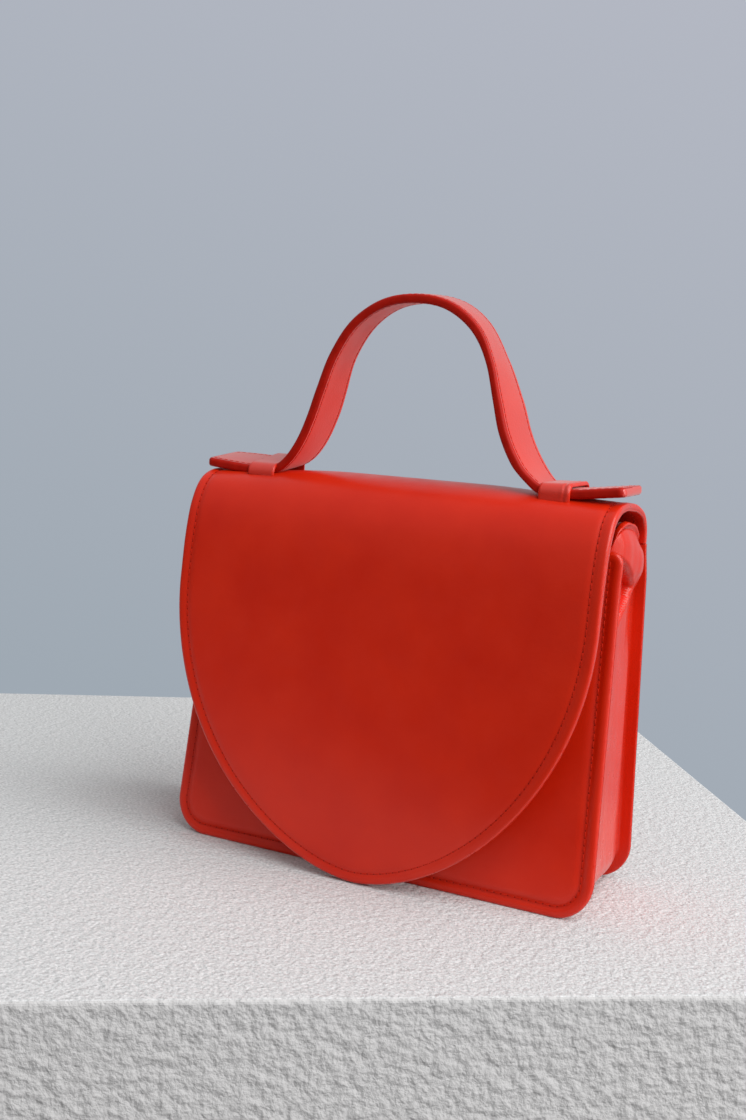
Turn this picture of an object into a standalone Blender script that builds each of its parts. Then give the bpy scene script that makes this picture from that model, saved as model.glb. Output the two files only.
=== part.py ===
"""A mini briefcase bag of smooth leather, built from its separate pieces.

Units are metres, +Z is up, +X is the bag's right as seen from the front, and the front faces -Y.
The origin is on the floor under the middle of the whole bag.
The bag has a stiff front and back wall, joined by one pleated gusset strip, a flap that rolls over
the top and hangs in front as a long U, and one strap handle held by two leather keepers.
"""

import math

import bmesh
import bpy
from mathutils import Matrix, Vector

# Walls of the bag
WALL_WIDTH_FLOOR = 0.200
WALL_WIDTH_TOP = 0.191
WALL_HEIGHT = 0.1477
BODY_DEPTH = 0.0593
FRONT_SET_BACK = 0.0217
BACK_SET_OUT = 0.0037
CORNER_RADIUS = 0.016
CORNER_STEPS = 8

# Thickness of the sheets
WALL_LEATHER = 0.0015
BOARD = 0.0013
LINING = 0.0008
GUSSET_LEATHER = 0.0013
FLAP_LEATHER = 0.0013
FLAP_CORE = 0.0006
FLAP_LINING = 0.0010
SEWN_GAP = 0.0003

# Gusset strip
FLANGE_WIDTH = 0.0033
SEAM_WIDTH = 0.0085
PLEAT_DEPTH = 0.0075
HEM_RISE = 0.0100
HEM_BACK_DROP = 0.0024
LINING_BELOW_HEM = 0.0030
BASE_BOARD_THICKNESS = 0.0015
# Room inside the deepest place of the pleat, and between the strip's lining and the walls' linings
PLEAT_CLEARANCE = 0.0011
LINING_CLEARANCE = 0.0004
# Places of the web's columns between the front and the back wall, and how high each one's hem rises.
WEB_ACROSS_SHARES = (0.10, 0.20, 0.32, 0.45, 0.57, 0.70, 0.90)
WEB_HEM_SHARES = (0.60, 0.88, 1.00, 1.04, 1.00, 0.90, 0.15)
# For each share of the wall's height, how far the columns are pressed in, as shares of the pleat's
# depth. The front half is pressed in below the hem and the leather puffs out above that.
WEB_SHARES = (
    (0.108, (0.00, 0.00, 0.00, 0.00, 0.00, 0.00, 0.00)),
    (0.400, (0.05, 0.00, 0.04, 0.06, 0.04, 0.00, 0.05)),
    (0.704, (0.10, 0.06, 0.04, 0.04, 0.03, 0.00, 0.05)),
    (0.755, (0.28, 0.12, 0.03, 0.03, 0.02, 0.00, 0.05)),
    (0.785, (0.57, 0.36, 0.02, 0.00, 0.00, 0.00, 0.05)),
    (0.814, (0.72, 0.78, 0.34, 0.00, -0.03, 0.00, 0.05)),
    (0.842, (0.78, 0.94, 0.82, 0.28, 0.00, -0.04, 0.05)),
    (0.864, (0.82, 1.00, 1.00, 0.70, 0.22, -0.02, 0.06)),
    (0.880, (0.82, 1.00, 0.92, 0.62, 0.22, 0.02, 0.10)),
    (0.897, (0.78, 0.86, 0.62, 0.12, -0.10, -0.14, 0.00)),
    (0.917, (0.62, 0.42, 0.00, -0.24, -0.30, -0.33, 0.02)),
    (0.941, (0.28, -0.07, -0.28, -0.35, -0.38, -0.40, 0.05)),
    (0.972, (0.12, -0.16, -0.28, -0.30, -0.30, -0.28, 0.12)),
    (1.000, (0.25, 0.00, -0.04, -0.04, 0.00, 0.04, 0.32)),
)
HEM_CURVE_POWER = 1.4

# Flap
FLAP_WIDTH = 0.1925
ROLL_TOP = 0.1688
FLAP_FRONT_REACH = 0.0432
FLAP_TIP_CLEARANCE = 0.0012
FLAP_CURVE_TOP = 0.120
FLAP_CURVE_POWER = 2.0
FLAP_CURVE_ROOT = 1.75
FLAP_CURVE_STEPS = 18
FLAP_PROFILE_STEPS = 44
# Depth as a share of the back wall's reach, height as a share of the roll's rise above the hinge.
ROLL_BACK_SHARES = ((1.0, 0.0), (0.965, 0.36), (0.83, 0.68), (0.54, 0.885), (0.18, 0.972))
# Depth as a share of the flap's reach in front, height as above.
ROLL_FRONT_SHARES = ((0.139, 1.0), (0.370, 0.935), (0.556, 0.72), (0.694, 0.285))
# Depth as a share of the flap's reach in front, height as a share of the hinge's height.
HANG_SHARES = ((0.782, 0.955), (0.852, 0.812), (0.921, 0.609), (0.977, 0.406), (1.0, 0.257), (0.996, 0.122))
TIP_REACH_SHARE = 0.983

# Hinge of the flap, just outside the back wall's top edge
HINGE_GAP = 0.0003
HINGE_STRAIGHT = 0.0012
HINGE_CLEARANCE = 0.0003

# Magnetic snap
SNAP_HEIGHT = 0.040
SNAP_STUD_RISE = 0.004
SNAP_RADIUS = 0.0070
SNAP_CASE_HEIGHT = 0.0026
SNAP_SHEET = 0.0004
SNAP_MOUTH_RADIUS = 0.0029
SNAP_STEM_RADIUS = 0.0015
SNAP_CLEARANCE = 0.0003
MAGNET_HEIGHT = 0.0012
STUD_RADIUS = 0.0062
STUD_BASE_HEIGHT = 0.0009
STUD_POST_RADIUS = 0.0022
STUD_HEIGHT = 0.0027
STUD_CHAMFER = 0.0004
WASHER_RADIUS = 0.0058
WASHER_THICKNESS = 0.0005
TURN_STEPS = 32

# Handle strap
STRAP_WIDTH = 0.0245
PADDLE_WIDTH = 0.0255
PADDLE_CORNER_RADIUS = 0.0045
HANDLE_LEATHER = 0.0013
HANDLE_CORE = 0.0008
PADDLE_END_INSET = 0.00105
ARCH_TOP = 0.2452
ARCH_HALF_WIDTH = 0.0451
HANDLE_CENTRE_BEHIND_RIDGE = 0.0026
HANDLE_LEAN_BACK = 0.0028
STRAP_LIFT = 0.0005
PADDLE_LIFT = 0.0008
STRAP_STEPS = 34
PADDLE_CORNER_STEPS = 5
FLARE_START = 0.0035
FLARE_LENGTH = 0.012
# Sideways as a share of the arch's half width, height as a share of the arch's rise over the strap's foot.
ARCH_SHARES = (
    (0.0, 1.0), (0.330, 0.966), (0.610, 0.850), (0.798, 0.668), (0.911, 0.468), (1.0, 0.294), (1.112, 0.163),
    (1.235, 0.058),
)

# Keepers
KEEPER_EDGE_INSET = 0.03415
KEEPER_WIDTH = 0.0118
KEEPER_LEATHER = 0.0012
KEEPER_CLEARANCE = 0.0004
KEEPER_BEND_RADIUS = 0.0019
KEEPER_BEND_STEPS = 4
HANDLE_RUN_IN = 0.0023

# Slip pocket on the back lining
POCKET_WIDTH = 0.110
POCKET_HEIGHT = 0.075
POCKET_ABOVE_BASE = 0.026
POCKET_RADIUS = 0.008

# Overrun of the cutters
CUT_OVERRUN = 0.005

# Worked out from the sizes above
HINGE_HEIGHT = WALL_HEIGHT + HINGE_GAP
BACK_REACH = BODY_DEPTH / 2 + BACK_SET_OUT
Y_SHIFT = (FLAP_FRONT_REACH - BACK_REACH) / 2
FRONT_FACE_Y = Y_SHIFT - BODY_DEPTH / 2
BACK_FACE_Y = Y_SHIFT + BODY_DEPTH / 2
FRONT_SLOPE = FRONT_SET_BACK / WALL_HEIGHT
BACK_SLOPE = BACK_SET_OUT / WALL_HEIGHT
WALL_STACK = WALL_LEATHER + SEWN_GAP + BOARD + SEWN_GAP
WEB_INSET = FLANGE_WIDTH + GUSSET_LEATHER
GUSSET_LINING_INSET = WEB_INSET + PLEAT_DEPTH + PLEAT_CLEARANCE
WALL_LINING_INSET = GUSSET_LINING_INSET + LINING + LINING_CLEARANCE
LINING_FLOOR = WEB_INSET + SEWN_GAP + BASE_BOARD_THICKNESS + SEWN_GAP + LINING
HANDLE_THICKNESS = 2 * HANDLE_LEATHER + HANDLE_CORE + 2 * SEWN_GAP
FLAP_THICKNESS = FLAP_LEATHER + SEWN_GAP + FLAP_CORE + SEWN_GAP + FLAP_LINING
HANDLE_REACH = FLAP_WIDTH / 2 - PADDLE_END_INSET
KEEPER_INNER_X = FLAP_WIDTH / 2 - KEEPER_EDGE_INSET
STRAP_HEIGHT = ROLL_TOP + STRAP_LIFT + HANDLE_THICKNESS / 2
HANDLE_Y = Y_SHIFT - ROLL_FRONT_SHARES[0][0] * FLAP_FRONT_REACH + HANDLE_CENTRE_BEHIND_RIDGE

LEATHER_RED = (0.53, 0.022, 0.008, 1.0)
LINING_RED = (0.36, 0.016, 0.010, 1.0)
BOARD_GREY = (0.36, 0.33, 0.29, 1.0)
STEEL_GREY = (0.55, 0.55, 0.56, 1.0)
MAGNET_GREY = (0.12, 0.12, 0.13, 1.0)

for old in list(bpy.data.objects):
    bpy.data.objects.remove(old, do_unlink=True)

parts = bpy.data.collections.new("mini_briefcase_bag")
cutters = bpy.data.collections.new("cutters")
bpy.context.scene.collection.children.link(parts)
bpy.context.scene.collection.children.link(cutters)


def material(name, colour, roughness, metallic=0.0):
    """One Principled material."""
    made = bpy.data.materials.new(name)
    made.use_nodes = True
    shader = made.node_tree.nodes["Principled BSDF"]
    shader.inputs["Base Color"].default_value = colour
    shader.inputs["Roughness"].default_value = roughness
    shader.inputs["Metallic"].default_value = metallic
    return made


def add_part(name, mesh, colour, roughness=0.35, metallic=0.0):
    """Put a mesh into the bag's collection under its piece's name."""
    part = bpy.data.objects.new(name, mesh)
    mesh.name = name
    mesh.materials.clear()
    mesh.materials.append(material(name, colour, roughness, metallic))
    parts.objects.link(part)
    return part


def add_cutter(name, mesh):
    """Put a mesh into the cutters' collection."""
    cutter = bpy.data.objects.new(name, mesh)
    cutter.hide_render = True
    cutter.display_type = "WIRE"
    cutters.objects.link(cutter)
    return cutter


def cut(part, cutter, operation="DIFFERENCE"):
    """Cut a part with a cutter, or keep only what lies inside it."""
    step = part.modifiers.new(cutter.name, "BOOLEAN")
    step.operation = operation
    step.object = cutter
    step.solver = "EXACT"


def smooth_line(points, steps):
    """Points at even distances along a smooth curve through the given points."""
    anchors = [Vector(p) for p in points]
    first = anchors[0] * 2 - anchors[1]
    last = anchors[-1] * 2 - anchors[-2]
    full = [first] + anchors + [last]
    fine = []
    pieces = 24
    for i in range(1, len(full) - 2):
        p0, p1, p2, p3 = full[i - 1 : i + 3]
        knots = [0.0]
        for a, b in ((p0, p1), (p1, p2), (p2, p3)):
            knots.append(knots[-1] + math.sqrt((b - a).length))
        t0, t1, t2, t3 = knots
        for k in range(pieces):
            t = t1 + (t2 - t1) * k / pieces
            a1 = p0 * ((t1 - t) / (t1 - t0)) + p1 * ((t - t0) / (t1 - t0))
            a2 = p1 * ((t2 - t) / (t2 - t1)) + p2 * ((t - t1) / (t2 - t1))
            a3 = p2 * ((t3 - t) / (t3 - t2)) + p3 * ((t - t2) / (t3 - t2))
            b1 = a1 * ((t2 - t) / (t2 - t0)) + a2 * ((t - t0) / (t2 - t0))
            b2 = a2 * ((t3 - t) / (t3 - t1)) + a3 * ((t - t1) / (t3 - t1))
            fine.append(b1 * ((t2 - t) / (t2 - t1)) + b2 * ((t - t1) / (t2 - t1)))
    fine.append(anchors[-1])
    lengths = [0.0]
    for a, b in zip(fine, fine[1:]):
        lengths.append(lengths[-1] + (b - a).length)
    line, at = [], 0
    for k in range(steps + 1):
        wanted = lengths[-1] * k / steps
        while at < len(fine) - 2 and lengths[at + 1] < wanted:
            at += 1
        share = (wanted - lengths[at]) / (lengths[at + 1] - lengths[at])
        line.append(fine[at].lerp(fine[at + 1], share))
    return line


def offset_line(line, distance):
    """The same flat line moved sideways, to the left of its direction."""
    moved = []
    for i, point in enumerate(line):
        before = line[max(i - 1, 0)]
        after = line[min(i + 1, len(line) - 1)]
        along = (after - before).normalized()
        moved.append(point + Vector((-along.y, along.x)) * distance)
    return moved


def table(rows, at):
    """A value read from a table of (place, value) rows, eased between its rows."""
    if at <= rows[0][0]:
        return rows[0][1]
    for (a, low), (b, high) in zip(rows, rows[1:]):
        if at <= b:
            share = (at - a) / (b - a)
            ease = share * share * (3 - 2 * share)
            return low + (high - low) * ease
    return rows[-1][1]


def grid_mesh(rows, flip=False):
    """A sheet of quads through rows of points."""
    bm = bmesh.new()
    made = [[bm.verts.new(p) for p in row] for row in rows]
    for low, high in zip(made, made[1:]):
        for i in range(len(low) - 1):
            bm.faces.new((low[i], low[i + 1], high[i + 1], high[i]))
    if flip:
        bmesh.ops.reverse_faces(bm, faces=bm.faces)
    mesh = bpy.data.meshes.new("sheet")
    bm.to_mesh(mesh)
    bm.free()
    return mesh


def thicken(part, thickness):
    """Give a sheet its thickness, on the side away from its faces' normals."""
    step = part.modifiers.new("thickness", "SOLIDIFY")
    step.thickness = thickness
    step.offset = -1.0
    step.use_even_offset = True


def mirror(part):
    """Add the left half to a right half that is open at the middle plane."""
    step = part.modifiers.new("left_half", "MIRROR")
    step.merge_threshold = 0.0001
    step.use_clip = True


def plate_mesh(points, thickness, place):
    """A flat plate from its outline, drawn in X and Z and given its thickness along Y."""
    curve = bpy.data.curves.new("outline", "CURVE")
    curve.dimensions = "2D"
    curve.fill_mode = "BOTH"
    curve.extrude = thickness / 2
    spline = curve.splines.new("POLY")
    spline.points.add(len(points) - 1)
    for slot, (x, z) in zip(spline.points, points):
        slot.co = (x, z, 0.0, 1.0)
    spline.use_cyclic_u = True
    guide = bpy.data.objects.new("outline", curve)
    cutters.objects.link(guide)
    graph = bpy.context.evaluated_depsgraph_get()
    mesh = bpy.data.meshes.new_from_object(guide.evaluated_get(graph))
    bpy.data.objects.remove(guide, do_unlink=True)
    bm = bmesh.new()
    bm.from_mesh(mesh)
    bmesh.ops.remove_doubles(bm, verts=bm.verts, dist=0.00001)
    bmesh.ops.transform(bm, matrix=place @ Matrix.Rotation(math.pi / 2, 4, "X"), verts=bm.verts)
    bmesh.ops.recalc_face_normals(bm, faces=bm.faces)
    bm.to_mesh(mesh)
    bm.free()
    return mesh


def lean(y_at_floor, slope):
    """A shear that leans an upright plate and leaves its bottom edge level."""
    place = Matrix.Identity(4)
    place[1][2] = slope
    place[1][3] = y_at_floor
    return place


def half_width(height):
    """Half the walls' width at a height."""
    share = height / WALL_HEIGHT
    return (WALL_WIDTH_FLOOR + (WALL_WIDTH_TOP - WALL_WIDTH_FLOOR) * share) / 2


def side_path(inset, bottom, heights):
    """The right half of the walls' outline: the given heights down, then in to the middle plane."""
    radius = CORNER_RADIUS - inset if CORNER_RADIUS > 2 * inset else CORNER_RADIUS / 2
    path = [(half_width(height) - inset, height) for height in heights]
    edge = half_width(bottom + radius) - inset
    for k in range(CORNER_STEPS + 1):
        angle = math.pi / 2 * k / CORNER_STEPS
        path.append((edge - radius + radius * math.cos(angle), bottom + radius - radius * math.sin(angle)))
    path.append((0.0, bottom))
    return path


def wall_outline(inset, bottom, top):
    """The whole outline of a wall plate with rounded bottom corners."""
    right = side_path(inset, bottom, [top])[:-1]
    return right + [(-x, z) for x, z in reversed(right)]


def front_wall_y(inwards, height):
    """Depth of the front wall's sheets: the outer face is at inwards 0."""
    return FRONT_FACE_Y + FRONT_SLOPE * height + inwards


def back_wall_y(inwards, height):
    """Depth of the back wall's sheets: the outer face is at inwards 0."""
    return BACK_FACE_Y + BACK_SLOPE * height - inwards


def front_plate(name, outline, depth, thickness, colour, roughness):
    """One upright plate of the front wall, whose outer face lies depth inside the wall's face."""
    place = lean(FRONT_FACE_Y + depth + thickness / 2, FRONT_SLOPE)
    return add_part(name, plate_mesh(outline, thickness, place), colour, roughness)


def back_plate(name, outline, depth, thickness, colour, roughness):
    """One upright plate of the back wall, whose outer face lies depth inside the wall's face."""
    place = lean(BACK_FACE_Y - depth - thickness / 2, BACK_SLOPE)
    return add_part(name, plate_mesh(outline, thickness, place), colour, roughness)


def gusset_heights(top):
    """Heights of the gusset's rows from the top down: close in the pleat, wide apart below it."""
    low = WEB_SHARES[0][0] * WALL_HEIGHT
    tall = [share * WALL_HEIGHT for share, _ in WEB_SHARES[1:]]
    between = (low + (tall[0] - low) / 2, tall[0] + (tall[1] - tall[0]) / 2)
    return [min(height, top) for height in sorted([*tall, *between], reverse=True)]


def pressed_in(height, column):
    """How far a column of the web is pressed in at a height; below zero it puffs out."""
    rows = [(share, shares[column]) for share, shares in WEB_SHARES]
    return PLEAT_DEPTH * table(rows, height / WALL_HEIGHT)


def towards_hem(height):
    """The share by which the strip's rows follow its curved hem at a height: 0 below the pleat, 1 at the top."""
    foot = WEB_SHARES[2][0] * WALL_HEIGHT
    return (max(height - foot, 0.0) / (WALL_HEIGHT - foot)) ** HEM_CURVE_POWER


def gusset_rows(inset, path, depth_in, flanges):
    """Rows of a strip from the front wall to the back wall, one row for each path point.

    A strip with flanges is the leather with its fold. Without them it is the lining, which hangs
    straight inside the fold.
    """
    rows = []
    for i, (x, z) in enumerate(path):
        before = Vector(path[max(i - 1, 0)])
        after = Vector(path[min(i + 1, len(path) - 1)])
        along = (after - before).normalized()
        inward = Vector((along.y, -along.x))
        if i == len(path) - 1:
            inward = Vector((0.0, 1.0))
        rise = HEM_RISE * towards_hem(z)
        drop = HEM_BACK_DROP * towards_hem(z)
        columns = [(inset, 0.0, 0.0)]
        for k, across in enumerate(WEB_ACROSS_SHARES):
            pressed = pressed_in(z, k) if flanges else 0.0
            columns.append((inset + pressed, across, rise * WEB_HEM_SHARES[k]))
        columns.append((inset, 1.0, -drop))
        if flanges:
            columns = [(0.0, 0.0, 0.0)] + columns + [(0.0, 1.0, -drop)]
        row = []
        for distance, across, lift in columns:
            place = Vector((x, z)) + inward * distance
            if i == len(path) - 1:
                place.x = 0.0
            y_front = front_wall_y(depth_in, place.y)
            y_back = back_wall_y(depth_in, place.y)
            row.append((place.x, y_front + (y_back - y_front) * across, place.y + lift))
        rows.append(row)
    return rows


def build_gusset():
    """The strip that makes both sides and the bottom, with its sewing flanges and side pleats."""
    path = side_path(0.0, 0.0, gusset_heights(WALL_HEIGHT))
    rows = gusset_rows(WEB_INSET, path, WALL_LEATHER + SEWN_GAP, True)
    gusset = add_part("gusset", grid_mesh(rows), LEATHER_RED, 0.3)
    mirror(gusset)
    thicken(gusset, GUSSET_LEATHER)
    return gusset


def build_gusset_lining():
    """The lining inside the strip, raised over the base board at the bottom."""
    path = side_path(GUSSET_LINING_INSET + LINING, LINING_FLOOR, gusset_heights(WALL_HEIGHT - LINING_BELOW_HEM))
    rows = gusset_rows(0.0, path, WALL_STACK, False)
    lining = add_part("gusset_lining", grid_mesh(rows), LINING_RED, 0.7)
    mirror(lining)
    thicken(lining, LINING)
    return lining


def build_walls():
    """The front and back walls: leather, board and lining of each, and the board in the base."""
    leather_outline = wall_outline(0.0, 0.0, WALL_HEIGHT)
    board_outline = wall_outline(SEAM_WIDTH, SEAM_WIDTH, WALL_HEIGHT)
    lining_bottom = LINING_FLOOR + LINING_CLEARANCE
    lining_outline = wall_outline(WALL_LINING_INSET, lining_bottom, WALL_HEIGHT)
    board_depth = WALL_LEATHER + SEWN_GAP
    made = {}
    for side, plate in (("front", front_plate), ("back", back_plate)):
        made[side] = plate(f"{side}_panel", leather_outline, 0.0, WALL_LEATHER, LEATHER_RED, 0.3)
        made[f"{side}_board"] = plate(f"{side}_board", board_outline, board_depth, BOARD, BOARD_GREY, 0.8)
        plate(f"{side}_lining", lining_outline, WALL_STACK, LINING, LINING_RED, 0.7)
    pocket_bottom = lining_bottom + POCKET_ABOVE_BASE
    pocket = rounded_bottom(POCKET_WIDTH / 2, pocket_bottom, pocket_bottom + POCKET_HEIGHT, POCKET_RADIUS)
    back_plate("slip_pocket", pocket, WALL_STACK + LINING + SEWN_GAP, LINING, LINING_RED, 0.7)
    return made


def rounded_bottom(half, bottom, top, radius):
    """An outline with square top corners and round bottom corners."""
    right = [(half, top)]
    for k in range(CORNER_STEPS + 1):
        angle = math.pi / 2 * k / CORNER_STEPS
        right.append((half - radius + radius * math.cos(angle), bottom + radius - radius * math.sin(angle)))
    return right + [(-x, z) for x, z in reversed(right)]


def build_base_board():
    """The flat board between the gusset's bottom and its lining."""
    bottom = WEB_INSET + SEWN_GAP
    top = bottom + BASE_BOARD_THICKNESS
    low = front_wall_y(WALL_STACK, top)
    high = back_wall_y(WALL_STACK, bottom)
    half = half_width(bottom) - CORNER_RADIUS
    bpy.ops.mesh.primitive_cube_add(size=1.0)
    cube = bpy.context.object
    mesh = cube.data.copy()
    bpy.data.objects.remove(cube, do_unlink=True)
    size = Matrix.Diagonal((2 * half, high - low, top - bottom, 1.0))
    mesh.transform(Matrix.Translation((0.0, (low + high) / 2, (bottom + top) / 2)) @ size)
    return add_part("base_board", mesh, BOARD_GREY, 0.8)


def flap_profile():
    """The flap's outer face from the hinge over the roll down to its tip, as (depth, height)."""
    rise = ROLL_TOP - HINGE_HEIGHT
    points = [(Y_SHIFT + BACK_REACH * d, HINGE_HEIGHT + rise * h) for d, h in ROLL_BACK_SHARES]
    points += [(Y_SHIFT - FLAP_FRONT_REACH * d, HINGE_HEIGHT + rise * h) for d, h in ROLL_FRONT_SHARES]
    points += [(Y_SHIFT - FLAP_FRONT_REACH * d, HINGE_HEIGHT * h) for d, h in HANG_SHARES]
    points.append((Y_SHIFT - FLAP_FRONT_REACH * TIP_REACH_SHARE, 0.0))
    start = Vector(points[0])
    points[0] = (start.x, start.y + HINGE_STRAIGHT)
    return [start] + smooth_line(points, FLAP_PROFILE_STEPS)


def flap_outline():
    """The U of the flap as seen from the front, closed above the roll."""
    half = FLAP_WIDTH / 2
    above = ROLL_TOP + CUT_OVERRUN
    right = [(half, above), (half, FLAP_CURVE_TOP)]
    for k in range(1, FLAP_CURVE_STEPS + 1):
        share = math.sin(math.pi / 2 * k / FLAP_CURVE_STEPS)
        left_over = max(0.0, 1.0 - share**FLAP_CURVE_POWER)
        height = FLAP_CURVE_TOP - (FLAP_CURVE_TOP - FLAP_TIP_CLEARANCE) * share
        right.append((half * left_over ** (1 / FLAP_CURVE_ROOT), height))
    return right + [(-x, z) for x, z in reversed(right[:-1])]


def flap_sheet(name, cutter, depth, thickness, colour, roughness):
    """One layer of the flap, whose outer face lies depth under the flap's outer face."""
    line = offset_line(flap_profile(), depth)
    half = FLAP_WIDTH / 2 + CUT_OVERRUN
    rows = [[(-half, p.x, p.y), (half, p.x, p.y)] for p in line]
    sheet = add_part(name, grid_mesh(rows, True), colour, roughness)
    thicken(sheet, thickness)
    cut(sheet, cutter, "INTERSECT")
    return sheet


def turned(name, profile, place, colour, roughness, metallic):
    """A body turned from a closed profile of (radius, height), placed by a matrix."""
    bm = bmesh.new()
    verts = [bm.verts.new((r, 0.0, h)) for r, h in profile]
    for a, b in zip(verts, verts[1:]):
        bm.edges.new((a, b))
    if profile[0][0] > 0.0:
        bm.edges.new((verts[-1], verts[0]))
    mesh = bpy.data.meshes.new(name)
    bm.to_mesh(mesh)
    bm.free()
    part = add_part(name, mesh, colour, roughness, metallic)
    part.matrix_world = place
    step = part.modifiers.new("turn", "SCREW")
    step.steps = TURN_STEPS
    step.render_steps = TURN_STEPS
    step.use_merge_vertices = True
    step.merge_threshold = 0.00001
    return part


def disc_cutter(name, radius, length, place):
    """A round cutter along the place's own Z axis, centred on it."""
    bm = bmesh.new()
    bmesh.ops.create_cone(
        bm, cap_ends=True, segments=TURN_STEPS, radius1=radius, radius2=radius, depth=length, matrix=place
    )
    mesh = bpy.data.meshes.new(name)
    bm.to_mesh(mesh)
    bm.free()
    return add_cutter(name, mesh)


def facing(y, z, slope, forward):
    """A frame on a leaning sheet: its Z axis stands out of the sheet, forward or backward."""
    up = Vector((0.0, slope, 1.0)).normalized()
    out = Vector((0.0, -up.z, up.y)) if forward else Vector((0.0, up.z, -up.y))
    side = up.cross(out)
    turn = Matrix((side, up, out)).transposed().to_4x4()
    return Matrix.Translation((0.0, y, z)) @ turn


def snap_washer(name, place, low):
    """A flat ring that holds a snap's stem behind its sheet."""
    inner = SNAP_STEM_RADIUS + SNAP_CLEARANCE
    profile = [
        (inner, low),
        (inner, low + WASHER_THICKNESS),
        (WASHER_RADIUS, low + WASHER_THICKNESS),
        (WASHER_RADIUS, low),
    ]
    return turned(name, profile, place, STEEL_GREY, 0.3, 1.0)


def build_snap_socket(walls):
    """The snap's fixed half on the front wall: case, ring magnet and washer."""
    place = facing(front_wall_y(0.0, SNAP_HEIGHT), SNAP_HEIGHT, FRONT_SLOPE, True)
    base = SEWN_GAP
    top = base + SNAP_CASE_HEIGHT
    washer_low = -WALL_LEATHER - SEWN_GAP - WASHER_THICKNESS
    stem = washer_low - SNAP_CLEARANCE / 2
    floor = base + SNAP_SHEET
    inner = SNAP_RADIUS - SNAP_SHEET
    case = [
        (0.0, floor),
        (inner, floor),
        (inner, top - SNAP_SHEET),
        (SNAP_MOUTH_RADIUS, top - SNAP_SHEET),
        (SNAP_MOUTH_RADIUS, top),
        (SNAP_RADIUS, top),
        (SNAP_RADIUS, base),
        (SNAP_STEM_RADIUS, base),
        (SNAP_STEM_RADIUS, stem),
        (0.0, stem),
    ]
    turned("snap_socket", case, place, STEEL_GREY, 0.25, 1.0)
    magnet_low = floor + SNAP_CLEARANCE
    magnet_in = SNAP_MOUTH_RADIUS + SNAP_CLEARANCE
    magnet_out = inner - SNAP_CLEARANCE
    ring = [
        (magnet_in, magnet_low + MAGNET_HEIGHT),
        (magnet_out, magnet_low + MAGNET_HEIGHT),
        (magnet_out, magnet_low),
        (magnet_in, magnet_low),
    ]
    turned("snap_magnet", ring, place, MAGNET_GREY, 0.5, 0.6)
    snap_washer("snap_socket_washer", place, washer_low)
    stem_hole = disc_cutter("socket_stem_hole", SNAP_STEM_RADIUS + SNAP_CLEARANCE, 2 * CUT_OVERRUN, place)
    washer_hole = disc_cutter("socket_washer_hole", WASHER_RADIUS + SNAP_CLEARANCE, 2 * CUT_OVERRUN, place)
    cut(walls["front"], stem_hole)
    cut(walls["front_board"], washer_hole)


def build_snap_stud(profile, layers):
    """The snap's moving half on the flap's lining: stud and washer."""
    height = SNAP_HEIGHT + SNAP_STUD_RISE
    inner_line = offset_line(profile, FLAP_THICKNESS)
    for a, b in zip(inner_line, inner_line[1:]):
        if b.y <= height < a.y and a.x < Y_SHIFT:
            share = (a.y - height) / (a.y - b.y)
            y = a.x + (b.x - a.x) * share
            slope = (a.x - b.x) / (a.y - b.y)
    place = facing(y, height, slope, False)
    base = SEWN_GAP
    space = FLAP_CORE + 2 * SEWN_GAP
    washer_low = -FLAP_LINING - (space + WASHER_THICKNESS) / 2
    stud = [
        (0.0, base + STUD_HEIGHT),
        (STUD_POST_RADIUS - STUD_CHAMFER, base + STUD_HEIGHT),
        (STUD_POST_RADIUS, base + STUD_HEIGHT - STUD_CHAMFER),
        (STUD_POST_RADIUS, base + STUD_BASE_HEIGHT),
        (STUD_RADIUS, base + STUD_BASE_HEIGHT),
        (STUD_RADIUS, base),
        (SNAP_STEM_RADIUS, base),
        (SNAP_STEM_RADIUS, washer_low),
        (0.0, washer_low),
    ]
    turned("snap_stud", stud, place, STEEL_GREY, 0.25, 1.0)
    snap_washer("snap_stud_washer", place, washer_low)
    stem_hole = disc_cutter("stud_stem_hole", SNAP_STEM_RADIUS + SNAP_CLEARANCE, 2 * CUT_OVERRUN, place)
    washer_hole = disc_cutter("stud_washer_hole", WASHER_RADIUS + SNAP_CLEARANCE, 2 * CUT_OVERRUN, place)
    cut(layers["flap_lining"], stem_hole)
    cut(layers["flap_core"], washer_hole)


def build_flap():
    """The flap's three layers, all cut to the same U, and the snap's stud."""
    outline = flap_outline()
    length = 2 * (FLAP_FRONT_REACH + BACK_REACH)
    cutter = add_cutter("flap_u", plate_mesh(outline, length, Matrix.Translation((0.0, 0.0, 0.0))))
    core_depth = FLAP_LEATHER + SEWN_GAP
    lining_depth = core_depth + FLAP_CORE + SEWN_GAP
    layers = {
        "flap": flap_sheet("flap", cutter, 0.0, FLAP_LEATHER, LEATHER_RED, 0.25),
        "flap_core": flap_sheet("flap_core", cutter, core_depth, FLAP_CORE, BOARD_GREY, 0.8),
        "flap_lining": flap_sheet("flap_lining", cutter, lining_depth, FLAP_LINING, LINING_RED, 0.6),
    }
    build_snap_stud(flap_profile(), layers)


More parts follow.
